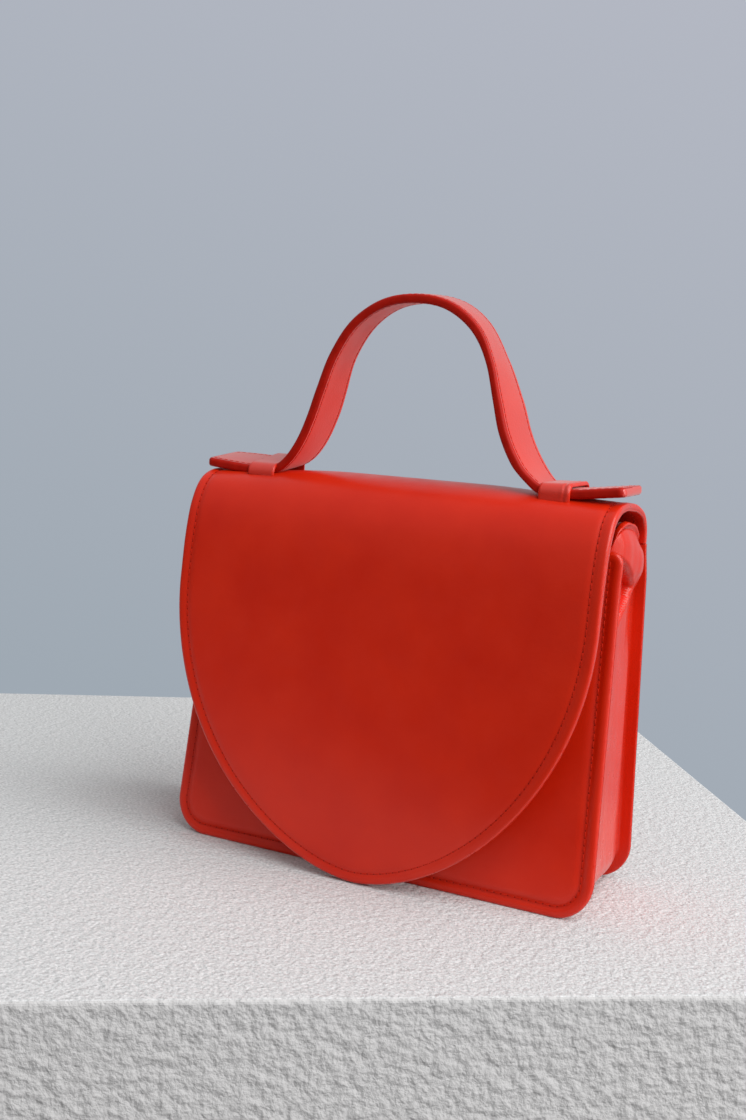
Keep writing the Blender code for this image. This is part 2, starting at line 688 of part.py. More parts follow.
def strap_line():
    """The middle of the strap on the right half, from the arch's top to the paddle's end."""
    rise = ARCH_TOP - STRAP_HEIGHT
    points = [(ARCH_HALF_WIDTH * x, STRAP_HEIGHT + rise * z) for x, z in ARCH_SHARES]
    points[0] = (0.0, ARCH_TOP)
    mirrored = (-points[1][0], points[1][1])
    keeper_start = KEEPER_INNER_X - HANDLE_RUN_IN
    keeper_end = KEEPER_INNER_X + KEEPER_WIDTH + HANDLE_RUN_IN
    half_run = (keeper_start + keeper_end) / 2
    points += [
        (keeper_start, STRAP_HEIGHT),
        (half_run, STRAP_HEIGHT),
        (keeper_end, STRAP_HEIGHT),
        (HANDLE_REACH, STRAP_HEIGHT + PADDLE_LIFT),
    ]
    line = smooth_line([mirrored] + points, 2 * STRAP_STEPS)
    kept = [Vector((p.x, max(p.y, STRAP_HEIGHT))) for p in line if p.x > ARCH_HALF_WIDTH / STRAP_STEPS]
    return [Vector((0.0, ARCH_TOP))] + kept


def strap_half_width(x):
    """Half the strap's width at a distance from the middle plane, past the keeper it flares."""
    flare_from = KEEPER_INNER_X + KEEPER_WIDTH + FLARE_START
    share = min(max((x - flare_from) / FLARE_LENGTH, 0.0), 1.0)
    ease = share * share * (3 - 2 * share)
    return (STRAP_WIDTH + (PADDLE_WIDTH - STRAP_WIDTH) * ease) / 2


def strap_stations():
    """The strap's middle line with a half width at each point, and round corners at its end."""
    stations = []
    for p in strap_line():
        if p.x < HANDLE_REACH - PADDLE_CORNER_RADIUS:
            stations.append((p, strap_half_width(p.x)))
    last = stations[-1][0]
    rise = (STRAP_HEIGHT + PADDLE_LIFT - last.y) / (HANDLE_REACH - last.x)
    corner_x = HANDLE_REACH - PADDLE_CORNER_RADIUS
    for k in range(PADDLE_CORNER_STEPS + 1):
        angle = math.pi / 2 * k / PADDLE_CORNER_STEPS
        x = corner_x + PADDLE_CORNER_RADIUS * math.sin(angle)
        narrow = PADDLE_CORNER_RADIUS * (1 - math.cos(angle))
        stations.append((Vector((x, last.y + rise * (x - last.x))), PADDLE_WIDTH / 2 - narrow))
    return stations


def handle_layer(name, above_middle, thickness, colour, roughness):
    """One layer of the strap, whose upper face lies above_middle over the strap's middle."""
    stations = strap_stations()
    line = offset_line([p for p, _ in stations], above_middle)
    line[0].x = 0.0
    rows = []
    for moved, (point, half) in zip(line, stations):
        back = HANDLE_LEAN_BACK * (point.y - STRAP_HEIGHT) / (ARCH_TOP - STRAP_HEIGHT)
        middle = HANDLE_Y + back
        rows.append([(moved.x, middle - half, moved.y), (moved.x, middle + half, moved.y)])
    layer = add_part(name, grid_mesh(rows, True), colour, roughness)
    mirror(layer)
    thicken(layer, thickness)
    return layer


def build_handle():
    """The strap's three layers."""
    half = HANDLE_THICKNESS / 2
    core_top = half - HANDLE_LEATHER - SEWN_GAP
    under_top = core_top - HANDLE_CORE - SEWN_GAP
    handle_layer("handle_top_layer", half, HANDLE_LEATHER, LEATHER_RED, 0.3)
    handle_layer("handle_core", core_top, HANDLE_CORE, BOARD_GREY, 0.8)
    handle_layer("handle_under_layer", under_top, HANDLE_LEATHER, LEATHER_RED, 0.3)


def roll_height(y):
    """Height of the flap's outer face on top of the roll, at a depth."""
    line = flap_profile()
    for a, b in zip(line, line[1:]):
        if b.x <= y <= a.x and min(a.y, b.y) > HINGE_HEIGHT:
            return a.y + (b.y - a.y) * (a.x - y) / (a.x - b.x)
    return HINGE_HEIGHT


def build_keepers():
    """Two leather loops over the strap, whose feet stand on the roll."""
    half = STRAP_WIDTH / 2 + KEEPER_CLEARANCE + KEEPER_LEATHER
    top = STRAP_HEIGHT + HANDLE_THICKNESS / 2 + KEEPER_CLEARANCE + KEEPER_LEATHER
    radius = KEEPER_BEND_RADIUS
    front, back = HANDLE_Y - half, HANDLE_Y + half
    front_foot = roll_height(front + KEEPER_LEATHER) + SEWN_GAP
    back_foot = roll_height(back - KEEPER_LEATHER) + SEWN_GAP
    line = [(front, front_foot)]
    for k in range(KEEPER_BEND_STEPS + 1):
        angle = math.pi / 2 * k / KEEPER_BEND_STEPS
        line.append((front + radius * (1 - math.cos(angle)), top - radius * (1 - math.sin(angle))))
    for k in range(KEEPER_BEND_STEPS + 1):
        angle = math.pi / 2 * k / KEEPER_BEND_STEPS
        line.append((back - radius * (1 - math.sin(angle)), top - radius * (1 - math.cos(angle))))
    line.append((back, back_foot))
    near = KEEPER_INNER_X
    far = KEEPER_INNER_X + KEEPER_WIDTH
    for name, low, high in (("left_keeper", -far, -near), ("right_keeper", near, far)):
        rows = [[(low, y, z), (high, y, z)] for y, z in line]
        keeper = add_part(name, grid_mesh(rows), LEATHER_RED, 0.35)
        thicken(keeper, KEEPER_LEATHER)


def build_pivots():
    """Empties on the joints' axes, which carry the pieces that move."""
    flap_axis = (0.0, Y_SHIFT + BACK_REACH + HINGE_CLEARANCE, HINGE_HEIGHT - HINGE_GAP / 2)
    mouth_axis = (0.0, FRONT_FACE_Y, 0.0)
    handle_axis = (0.0, HANDLE_Y, STRAP_HEIGHT)
    flap_names = ("flap", "flap_core", "flap_lining", "snap_stud", "snap_stud_washer", "left_keeper", "right_keeper")
    front_names = ("front_panel", "front_board", "front_lining", "snap_socket", "snap_magnet", "snap_socket_washer")
    handle_names = ("handle_top_layer", "handle_core", "handle_under_layer")
    pivots = {}
    for name, place, children in (
        ("flap_hinge", flap_axis, flap_names),
        ("mouth_hinge", mouth_axis, front_names),
        ("handle_guide", handle_axis, handle_names),
    ):
        pivot = bpy.data.objects.new(name, None)
        parts.objects.link(pivot)
        pivot.location = place
        pivots[name] = pivot
        bpy.context.view_layer.update()
        for child_name in children:
            child = bpy.data.objects[child_name]
            child.parent = pivot
            child.matrix_parent_inverse = pivot.matrix_world.inverted()
    pivots["handle_guide"].parent = pivots["flap_hinge"]
    pivots["handle_guide"].matrix_parent_inverse = pivots["flap_hinge"].matrix_world.inverted()


def shade():
    """Round pieces are shaded smooth, with their edges kept sharp."""
    for part in parts.objects:
        if part.type == "MESH":
            part.data.shade_smooth()
            part.data.set_sharp_from_angle(angle=math.radians(35))


walls = build_walls()
build_base_board()
build_gusset()
build_gusset_lining()
build_snap_socket(walls)
build_flap()
build_keepers()
build_handle()
build_pivots()
shade()
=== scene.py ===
# %% [markdown]
# # A mini briefcase bag in red leather
#
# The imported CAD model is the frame: it says how big the bag is, where each wall stands and which pieces
# move together. This file dresses that frame. Leather is never a flat board, so most pieces are built
# again here as thin shells with rounded, painted edges, a stitch groove and a little unevenness.
# All lengths are in metres, +Z is up and the flap hangs on the -Y side.

# %% Load the frame
import math

import bpy
import numpy as np
from mathutils import Matrix, Vector


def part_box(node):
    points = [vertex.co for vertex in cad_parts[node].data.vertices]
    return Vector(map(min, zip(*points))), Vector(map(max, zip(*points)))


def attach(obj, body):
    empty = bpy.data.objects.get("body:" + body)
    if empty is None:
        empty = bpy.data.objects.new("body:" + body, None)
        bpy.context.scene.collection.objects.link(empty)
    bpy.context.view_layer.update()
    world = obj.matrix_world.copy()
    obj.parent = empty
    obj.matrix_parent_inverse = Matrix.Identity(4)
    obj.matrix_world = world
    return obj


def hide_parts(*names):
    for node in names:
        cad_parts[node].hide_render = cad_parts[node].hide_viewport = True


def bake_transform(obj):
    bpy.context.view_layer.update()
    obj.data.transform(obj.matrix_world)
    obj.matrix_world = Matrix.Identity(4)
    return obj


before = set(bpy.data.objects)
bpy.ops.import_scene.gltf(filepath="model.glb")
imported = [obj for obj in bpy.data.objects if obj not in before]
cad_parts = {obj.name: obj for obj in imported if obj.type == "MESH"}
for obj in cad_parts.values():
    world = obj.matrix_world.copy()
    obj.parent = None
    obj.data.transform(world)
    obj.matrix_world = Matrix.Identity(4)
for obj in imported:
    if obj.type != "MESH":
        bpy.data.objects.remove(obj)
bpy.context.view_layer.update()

# %% [markdown]
# ## The sizes that the pieces share
#
# A node's box gives its place, so the walls are read from the frame and not typed again. What a box
# can't tell, such as the curve of the flap seen from the side, is written here once, in millimetres
# measured from the middle of the two walls' feet, and moved by `SHIFT` to the bag's own middle.
# `FRAME_LEATHER` is the thickness of the frame's panels. `SIDES` names each wall, its body, the place
# and slope of its face and the way out of the bag.

# %% Sizes and curves
MM = 0.001
FRAME_LEATHER = 1.5 * MM
wall_low, wall_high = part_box("front_panel")
back_low, back_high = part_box("back_panel")
WALL_HEIGHT = wall_high.z
FRONT_FOOT = wall_low.y
BACK_FOOT = back_low.y + FRAME_LEATHER
FRONT_SLOPE = (wall_high.y - FRAME_LEATHER - wall_low.y) / WALL_HEIGHT
BACK_SLOPE = (back_high.y - BACK_FOOT) / WALL_HEIGHT
SHIFT = FRONT_FOOT + 29.65 * MM
CORNER = 16 * MM
HALF_FLOOR = 100 * MM
HALF_TOP = 95.5 * MM
FLAP_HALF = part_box("flap")[1].x
FLAP_TIP = 0.4 * MM
FLAP_STRAIGHT = 120 * MM
SIDES = ("front", "front_wall", FRONT_FOOT, FRONT_SLOPE, -1), ("back", "body", BACK_FOOT, BACK_SLOPE, 1)

FLAP_CURVE = np.array([
    (33.35, 148), (33.3, 149.5), (32.2, 155.5), (27.7, 162.2), (18, 166.4), (6, 168.2), (-6, 168.8),
    (-16, 167.4), (-24, 162.9), (-30, 153.9), (-33.8, 141.2), (-36.8, 120.1), (-39.8, 90), (-42.2, 60),
    (-43.2, 38), (-43.3, 18), (-43.2, -0.4),
]) * MM
print("wall feet and slopes:", [round(v, 4) for v in (FRONT_FOOT, BACK_FOOT, FRONT_SLOPE, BACK_SLOPE)])


def soft_step(value, low, high):
    """0 below one bound, 1 above the other and a smooth rise between them."""
    t = np.clip((np.asarray(value, float) - low) / (high - low), 0, 1)
    return t * t * (3 - 2 * t)


def rounding(d, radius):
    """How far a face or an outline falls away at a distance from its rounded edge."""
    rest = np.clip(radius - d, 0, radius)
    return radius - np.sqrt(radius**2 - rest**2)


def half_plate(z, inset=0.0, bottom=0.0, corner=CORNER, drawn_in=0.8 * MM):
    """Half the width of an upright sheet at a height. The walls taper, and bottom corners are round."""
    z = np.asarray(z, float)
    taper = HALF_FLOOR + (HALF_TOP - HALF_FLOOR) * np.maximum(z, bottom + corner) / WALL_HEIGHT
    taper = taper - drawn_in * soft_step(z, 132 * MM, WALL_HEIGHT)
    return taper - inset - rounding(z - bottom, corner)


def half_flap(y, z):
    """Half the width of the flap: drawn in a little over the roll, then a long rounded tongue in front."""
    t = np.clip((FLAP_STRAIGHT - z) / (FLAP_STRAIGHT - FLAP_TIP), 0, 1)
    tongue = FLAP_HALF * (1 - t**2) ** (1 / 1.75)
    return tongue - 1.9 * MM * soft_step(y, -16 * MM, 14 * MM)


def plate_line(foot, slope, inwards, bottom=0.0, corner=CORNER, top=WALL_HEIGHT):
    """The side view of an upright sheet from its top edge down, moved inwards by a distance."""
    heights = np.concatenate([
        top - np.array([0, 0.15, 0.35, 0.7, 1.2, 2, 3, 4, 5, 6]) * MM,
        np.linspace(top - 8 * MM, bottom + corner, 60),
        bottom + corner * (1 - np.sin(np.linspace(0, math.pi / 2, 34)[1:])),
    ])
    return np.stack([foot + inwards + slope * heights, heights], 1)


# %% [markdown]
# ## A smooth line through a few points
#
# The roll of the flap and the arch of the handle are free curves. A few points measured on the photo
# give their shape, and a centripetal Catmull-Rom curve joins them without overshooting at the tight
# places. What follows such a line goes by the length along it.

# %% Curve helpers
def smooth_line(points):
    """Points every 0.2 mm along a smooth curve through the given points."""
    p = np.asarray(points, float)
    p = np.vstack([2 * p[0] - p[1], p, 2 * p[-1] - p[-2]])
    fine = []
    for i in range(1, len(p) - 2):
        p0, p1, p2, p3 = p[i - 1 : i + 3]
        t1 = np.linalg.norm(p1 - p0) ** 0.5
        t2 = t1 + np.linalg.norm(p2 - p1) ** 0.5
        t3 = t2 + np.linalg.norm(p3 - p2) ** 0.5
        t = np.linspace(t1, t2, 40, endpoint=False)[:, None]
        a1 = (p0 * (t1 - t) + p1 * t) / t1
        a2 = (p1 * (t2 - t) + p2 * (t - t1)) / (t2 - t1)
        a3 = (p2 * (t3 - t) + p3 * (t - t2)) / (t3 - t2)
        b1 = (a1 * (t2 - t) + a2 * t) / t2
        b2 = (a2 * (t3 - t) + a3 * (t - t1)) / (t3 - t1)
        fine.append((b1 * (t2 - t) + b2 * (t - t1)) / (t2 - t1))
    fine = np.vstack(fine + [p[-2:-1]])
    s = run_of(fine)
    return walk(fine, s, np.linspace(0, s[-1], int(s[-1] / (0.2 * MM)) + 1))


def run_of(line):
    """The length along a line up to each of its points."""
    return np.concatenate([[0], np.cumsum(np.linalg.norm(np.diff(line, axis=0), axis=1))])


def walk(line, s, wanted):
    """The points of a line at the wanted lengths along it."""
    return np.stack([np.interp(wanted, s, line[:, k]) for k in range(line.shape[1])], 1)


def left_of(line):
    """The direction to the left of a flat line at each of its points."""
    t = np.gradient(line, axis=0)
    t /= np.linalg.norm(t, axis=1)[:, None]
    return np.stack([-t[:, 1], t[:, 0]], 1)


def inset_outline(outline, distance):
    """A closed outline, drawn counterclockwise, moved inwards. Square corners keep their mitre."""
    sides = outline - np.roll(outline, 1, 0), np.roll(outline, -1, 0) - outline
    middle = sum(np.stack([-v[:, 1], v[:, 0]], 1) / np.linalg.norm(v, axis=1)[:, None] for v in sides)
    return outline + middle * (2 * distance / np.maximum((middle**2).sum(1), 0.2))[:, None]


def edge_distance(points, borders):
    """How far each point lies from the nearest of a few lines."""
    a = np.concatenate([line[:-1] for line in borders])
    d = np.concatenate([np.diff(line, axis=0) for line in borders])
    size = np.maximum((d**2).sum(1), 1e-18)
    near = np.full(len(points), 1.0)
    for k in range(0, len(points), 2000):
        q = points[k : k + 2000, None, :] - a
        t = np.clip((q * d).sum(2) / size, 0, 1)
        near[k : k + 2000] = np.sqrt(((q - t[..., None] * d) ** 2).sum(2).min(1))
    return near


print("flap, hinge to tip:", round(run_of(smooth_line(FLAP_CURVE))[-1] / MM, 1), "mm")

# %% [markdown]
# ## Finishes
#
# The leather is a coated one: a saturated red body under a clear satin film, with a very fine grain.
# The grain is a bump from small Voronoi cells and the slow unevenness is a bump from noise, both read
# from Object coordinates, so they have the same scale on each piece. The colour hardly varies, because
# the real finish is sprayed on.

# %% Material helpers
def give(tree, node, inputs):
    """Set a node's inputs, each to a value or to another node's output."""
    for name, value in inputs.items():
        if isinstance(value, bpy.types.NodeSocket):
            tree.links.new(value, node.inputs[name])
        else:
            node.inputs[name].default_value = value


def add_node(tree, kind, inputs, **settings):
    """A new node with its settings and its inputs."""
    made = tree.nodes.new(kind)
    for name, value in settings.items():
        setattr(made, name, value)
    give(tree, made, inputs)
    return made


def new_material(name, colour, roughness):
    """A Principled material, its tree, its shader and its object coordinates."""
    made = bpy.data.materials.new(name)
    made.use_nodes = True
    made.diffuse_color = (*colour, 1)
    tree = made.node_tree
    shader = tree.nodes["Principled BSDF"]
    give(tree, shader, {"Base Color": (*colour, 1), "Roughness": roughness})
    return made, tree, shader, add_node(tree, "ShaderNodeTexCoord", {}).outputs["Object"]


def noise(tree, place, scale, detail=3.0, stretch=None):
    """A noise texture on the object's coordinates. Its stretch packs it closer along some axes."""
    if stretch:
        place = add_node(tree, "ShaderNodeMapping", {"Vector": place, "Scale": stretch}).outputs["Vector"]
    inputs = {"Vector": place, "Scale": scale, "Detail": detail}
    return add_node(tree, "ShaderNodeTexNoise", inputs).outputs["Fac"]


def spread(tree, value, low, high):
    """A texture's value spread between two limits."""
    ends = {"Value": value, "From Min": 0.3, "From Max": 0.7, "To Min": low, "To Max": high}
    return add_node(tree, "ShaderNodeMapRange", ends).outputs["Result"]


def two_tone(tree, value, dark, light):
    """A colour between two tones."""
    ramp = add_node(tree, "ShaderNodeValToRGB", {"Fac": value})
    for stop, position, colour in zip(ramp.color_ramp.elements, (0.3, 0.7), (dark, light)):
        stop.position = position
        stop.color = (*colour, 1)
    return ramp.outputs["Color"]


def bump(tree, height, distance, strength, under=None):
    """A bump from a height, laid over another bump."""
    inputs = {"Height": height, "Distance": distance, "Strength": strength}
    if under:
        inputs["Normal"] = under
    return add_node(tree, "ShaderNodeBump", inputs).outputs["Normal"]


def leather(name, dark, light, grain, roughness, coat, specular, haze=0.0):
    """Coated leather: slow unevenness, short creases, fine grain, a clear film and a pale haze."""
    made, tree, shader, place = new_material(name, light, roughness)
    cells = {"Vector": place, "Scale": 1150, "Smoothness": 0.5}
    pores = add_node(tree, "ShaderNodeTexVoronoi", cells, feature="SMOOTH_F1").outputs["Distance"]
    slow = bump(tree, noise(tree, place, 95), 0.35 * MM, 0.25)
    crease = bump(tree, noise(tree, place, 300, 3, (1, 1, 2.5)), 0.12 * MM, 0.25, slow)
    give(tree, shader, {
        "Base Color": two_tone(tree, noise(tree, place, 38, 4), dark, light),
        "Roughness": spread(tree, noise(tree, place, 120, 5), roughness - 0.05, roughness + 0.06),
        "Normal": bump(tree, pores, 0.12 * MM, grain, crease),
        "Coat Weight": coat,
        "Coat Roughness": roughness,
        "Specular IOR Level": specular,
        "Sheen Weight": haze,
        "Sheen Roughness": 0.4,
        "Sheen Tint": (1.0, 0.72, 0.68, 1),
    })
    return made


def weave(name, dark, light, threads):
    """Closely woven lining: two crossed sets of threads."""
    made, tree, shader, place = new_material(name, light, 0.85)
    waves = {"Vector": place, "Scale": threads, "Distortion": 0.6}
    heights = {
        k: add_node(tree, "ShaderNodeTexWave", waves, bands_direction=axis).outputs["Fac"]
        for k, axis in enumerate("XZ")
    }
    both = add_node(tree, "ShaderNodeMath", heights, operation="MULTIPLY").outputs["Value"]
    give(tree, shader, {
        "Base Color": two_tone(tree, both, dark, light),
        "Normal": bump(tree, both, 0.1 * MM, 0.5),
        "Sheen Weight": 0.2,
    })
    return made


def plain(name, dark, light, roughness, metallic, grain_scale, depth, specular=0.5):
    """A hard material with a little variation in colour, gloss and surface."""
    made, tree, shader, place = new_material(name, light, roughness)
    value = noise(tree, place, grain_scale, 5)
    give(tree, shader, {
        "Base Color": two_tone(tree, value, dark, light),
        "Roughness": spread(tree, value, roughness - 0.04, roughness + 0.06),
        "Normal": bump(tree, value, depth, 0.3),
        "Metallic": metallic,
        "Specular IOR Level": specular,
    })
    return made


# %% The bag's finishes
# After its two tones, leather takes grain, roughness, coat, specular and haze. A plain finish takes
# roughness, metallic, the grain's scale and depth, and specular.
RED = (0.60, 0.014, 0.0008), (0.66, 0.02, 0.0022)
DULL = 0.15
face_leather = leather("red face leather", *RED, 0.16, 0.36, 0.35, 0.18)
strap_leather = leather("red strap leather", *RED, 0.45, 0.38, 0.7, 0.6, 0.45)
# The strap's inner side is a lighter copy of the red: painted light on the inside of the arch.
lit_strap_inner = leather(
    "red strap inner leather with painted light", (0.78, 0.022, 0.004), (0.84, 0.028, 0.008), 0.45, 0.45, 0.2, 0.3, 0.5
)
gusset_leather = leather("red gusset leather", *RED, 0.25, 0.30, 0.3, 0.3, 0.05)
# The inner leather is a lighter, more saturated copy of the red: painted light that lifts the shaded faces
# inside the bag and behind the flap.
lightened_inner_leather = leather("red inner leather with painted light", (0.66, 0.012, 0.002), (0.72, 0.014, 0.0026), 0.2, 0.55, 0.0, 0.15)
lining_cloth = weave("dark red lining cloth", (0.20, 0.008, 0.006), (0.34, 0.014, 0.010), 900)
edge_paint = plain("red edge paint", *RED, 0.30, 0.0, 260, 0.04 * MM)
# The strap's edge paint is a darker copy of the red: painted shade for the strap's edges, which lie in shade.
shaded_strap_paint = plain(
    "strap edge paint darkened as painted shade", (0.36, 0.006, 0.0012), (0.44, 0.008, 0.0016), 0.42, 0.0, 260, 0.04 * MM, DULL
)
thread = plain("red thread", (0.48, 0.012, 0.0016), (0.58, 0.016, 0.0026), 0.6, 0.0, 3000, 0.05 * MM, DULL)
# A dark disc between two stitches is painted shade where the needle's hole lies.
hole_shade_disc = plain("painted shade of the hole a needle leaves", (0.26, 0.005, 0.0008), (0.32, 0.006, 0.001), 0.8, 0.0, 2000, 0.02 * MM, DULL)
bag_board = plain("bag board", (0.25, 0.22, 0.18), (0.34, 0.31, 0.26), 0.85, 0.0, 700, 0.1 * MM)
nickel = plain("nickel", (0.50, 0.50, 0.51), (0.62, 0.62, 0.63), 0.24, 1.0, 900, 0.01 * MM)
magnet_black = plain("sintered magnet", (0.04, 0.04, 0.045), (0.08, 0.08, 0.09), 0.45, 0.7, 1500, 0.03 * MM)
print("finishes:", len(bpy.data.materials))

# %% [markdown]
# ## A leather sheet with rounded edges
#
# A cut sheet of leather has a painted, rounded edge, and a stitch line presses a soft groove a few
# millimetres inside it. Bevels can't give that on a long curved outline, so the sheet is built from
# rows of points. Each point knows its distance to the outline. That one number lowers the face at the
# edge, presses the groove and later chooses the edge paint.

# %% The shell and the sheet
INSETS = np.array([0, 0.08, 0.22, 0.45, 0.8, 1.3, 1.9, 2.6, 3.4, 4.1, 4.6, 5.0, 5.4, 5.9, 6.6, 7.8, 9.5]) * MM
PAINTED_EDGE = 0.9 * MM


def put(name, mesh):
    """A new object for a mesh, a lamp or a camera."""
    made = bpy.data.objects.new(name, mesh)
    bpy.context.scene.collection.objects.link(made)
    return made


def shell(name, outer, inner, edge, materials=(face_leather, edge_paint), inside=None):
    """A closed mesh between two grids of points, with walls along their four borders.

    edge says how far each point is from the border. The second material paints the outer part, and
    inside, when given, is the finish of the inner face.
    """
    rows, columns = outer.shape[:2]
    points = np.concatenate([outer.reshape(-1, 3), inner.reshape(-1, 3)])
    index = np.arange(rows * columns).reshape(rows, columns)
    a, b, c, d = (g.ravel() for g in (index[:-1, :-1], index[:-1, 1:], index[1:, 1:], index[1:, :-1]))
    top = np.stack([a, b, c, d], 1)
    under = top[:, ::-1] + rows * columns
    ring = np.concatenate([index[0, :-1], index[:-1, -1], index[-1, :0:-1], index[:0:-1, 0]])
    follow = np.roll(ring, -1)
    wall = np.stack([follow, ring, ring + rows * columns, follow + rows * columns], 1)
    mesh = bpy.data.meshes.new(name)
    mesh.from_pydata(points.tolist(), [], np.concatenate([top, under, wall]).tolist())
    painted = edge[:-1, :-1].ravel() < PAINTED_EDGE
    within = np.where(painted, 1, 2 if inside else 0)
    slots = np.concatenate([painted, within, np.ones(len(wall))]).astype(int)
    for finish in (*materials, inside) if inside else materials:
        mesh.materials.append(finish)
    mesh.polygons.foreach_set("material_index", slots)
    mesh.validate()
    mesh.shade_smooth()
    return face_out(put(name, mesh))


def face_out(made):
    """Turn a closed mesh's faces outwards if its volume comes out negative."""
    mesh = made.data
    mesh.calc_loop_triangles()
    co = np.array([v.co for v in mesh.vertices])
    tri = np.array([t.vertices for t in mesh.loop_triangles])
    volume = np.einsum("ij,ij->i", co[tri[:, 0]], np.cross(co[tri[:, 1]], co[tri[:, 2]])).sum()
    if volume < 0:
        mesh.flip_normals()
    return made


def spread_columns(halves):
    """Places across each row, close together near both edges."""
    share = np.minimum(1, halves / (INSETS[-1] * 1.25))[:, None]
    right = halves[:, None] - share * INSETS
    centre = right[:, -1:] * np.linspace(-1, 1, 34)[1:-1]
    return np.concatenate([-right, centre, right[:, ::-1]], 1)


def unevenness(a, b, size, seed):
    """A slow, smooth unevenness without any pattern that repeats within one piece."""
    value = np.zeros_like(a)
    rng = np.random.default_rng(seed)
    for _ in range(7):
        angle, phase = rng.uniform(0, 2 * math.pi, 2)
        wave = size * rng.uniform(0.6, 1.8)
        value += np.sin((a * math.cos(angle) + b * math.sin(angle)) * 2 * math.pi / wave + phase)
    return value / 7


def sheet(name, line, halves, thickness, radius, place, relief, sign=1, open_start=False, **finish):
    """A sheet that follows a flat line, from its outer face inwards.

    radius holds the rounding of the outer and the inner edge. place turns (across, first, second)
    into points of the bag. relief gives extra height from (across, length, distance to the edge),
    for the outer and the inner face. open_start leaves the first edge square, where a sheet goes on.
    """
    s = run_of(line)
    normal = left_of(line) * sign
    across = spread_columns(halves)
    length = np.repeat(s[:, None], across.shape[1], 1)
    borders = [np.stack([k * halves, s], 1) for k in (-1, 1)]
    for end in (-1,) if open_start else (-1, 0):
        borders.append(np.array([[-halves[end], s[end]], [halves[end], s[end]]]))
    d = edge_distance(np.stack([across.ravel(), length.ravel()], 1), borders).reshape(across.shape)
    up = -rounding(d, radius[0])
    low = rounding(d, radius[1]) - thickness
    extra_up, extra_low = relief(across, length, d)
    grids = [
        place(across, line[:, :1] + normal[:, :1] * height, line[:, 1:] + normal[:, 1:] * height)
        for height in (up + extra_up, low + extra_low)
    ]
    return shell(name, *grids, d, **finish)


def upright(across, first, second):
    """Sheets whose side view is drawn in Y and Z."""
    return np.stack([across, first, second], 2)


def groove(d, at, depth, width):
    """The groove that a stitch line presses into a face."""
    return -depth * np.exp(-(((d - at) / width) ** 2))


# %% [markdown]
# ## Stitches
#
# A seam is hundreds of equal stitches along a path, which is what Geometry Nodes are for. The path's
# points carry the direction out of the leather. The tree resamples it at the stitch length, lays a
# rice-grain stitch at each point and, between two, a flat dark disc: painted shade where the needle's
# hole lies. The result is kept as a plain mesh.

# %% The stitch tree
def stitch_tree():
    """A node tree that sews along a chain of points."""
    tree = bpy.data.node_groups.new("sew_along", "GeometryNodeTree")
    face = tree.interface
    face.new_socket("Geometry", in_out="INPUT", socket_type="NodeSocketGeometry")
    for label, value in (("Pitch", 3.0), ("Length", 2.3), ("Width", 0.5), ("Height", 0.42)):
        face.new_socket(label, in_out="INPUT", socket_type="NodeSocketFloat").default_value = value * MM
    for label in ("Thread", "Hole"):
        face.new_socket(label, in_out="INPUT", socket_type="NodeSocketMaterial")
    face.new_socket("Geometry", in_out="OUTPUT", socket_type="NodeSocketGeometry")
    given = add_node(tree, "NodeGroupInput", {}).outputs
    curve = add_node(tree, "GeometryNodeMeshToCurve", {"Mesh": given["Geometry"]}).outputs["Curve"]
    steps = {"Curve": curve, "Length": given["Pitch"]}
    sewn = add_node(tree, "GeometryNodeResampleCurve", steps, mode="LENGTH").outputs["Curve"]
    named = {"Name": "out_of_leather"}
    out = add_node(tree, "GeometryNodeInputNamedAttribute", named, data_type="FLOAT_VECTOR")
    tangent = add_node(tree, "GeometryNodeInputTangent", {}).outputs["Tangent"]
    along = add_node(tree, "FunctionNodeAlignRotationToVector", {"Vector": tangent}, axis="X")
    turns = {"Rotation": along.outputs["Rotation"], "Vector": out.outputs["Attribute"]}
    upward = add_node(tree, "FunctionNodeAlignRotationToVector", turns, axis="Z", pivot_axis="X")
    half = add_node(tree, "ShaderNodeMath", {0: given["Pitch"], 1: 0.5}, operation="MULTIPLY").outputs["Value"]
    ahead = add_node(tree, "ShaderNodeCombineXYZ", {"X": half}).outputs["Vector"]
    joined = tree.nodes.new("GeometryNodeJoinGeometry")
    # The flat dark disc that paints the shade of each needle's hole.
    hole = {"X": 0.85 * MM, "Y": 0.62 * MM, "Z": 0.10 * MM}
    stitch = {"X": given["Length"], "Y": given["Width"], "Z": given["Height"]}
    for kind, size, segments, rings, offset in (
        ("Thread", stitch, 8, 5, {}), ("Hole", hole, 6, 4, {"Translation": ahead}),
    ):
        ball = {"Segments": segments, "Rings": rings, "Radius": 0.5}
        grain = add_node(tree, "GeometryNodeMeshUVSphere", ball).outputs["Mesh"]
        scale = add_node(tree, "ShaderNodeCombineXYZ", size).outputs["Vector"]
        shape = add_node(tree, "GeometryNodeTransform", {"Geometry": grain, "Scale": scale, **offset})
        laid = add_node(tree, "GeometryNodeInstanceOnPoints", {
            "Points": sewn, "Instance": shape.outputs["Geometry"], "Rotation": upward.outputs["Rotation"]
        })
        real = add_node(tree, "GeometryNodeRealizeInstances", {"Geometry": laid.outputs["Instances"]})
        finish = {"Geometry": real.outputs["Geometry"], "Material": given[kind]}
        painted = add_node(tree, "GeometryNodeSetMaterial", finish).outputs["Geometry"]
        smooth = add_node(tree, "GeometryNodeSetShadeSmooth", {"Geometry": painted}).outputs["Geometry"]
        give(tree, joined, {"Geometry": smooth})
    add_node(tree, "NodeGroupOutput", {"Geometry": joined.outputs["Geometry"]})
    return tree


SEWING = stitch_tree()


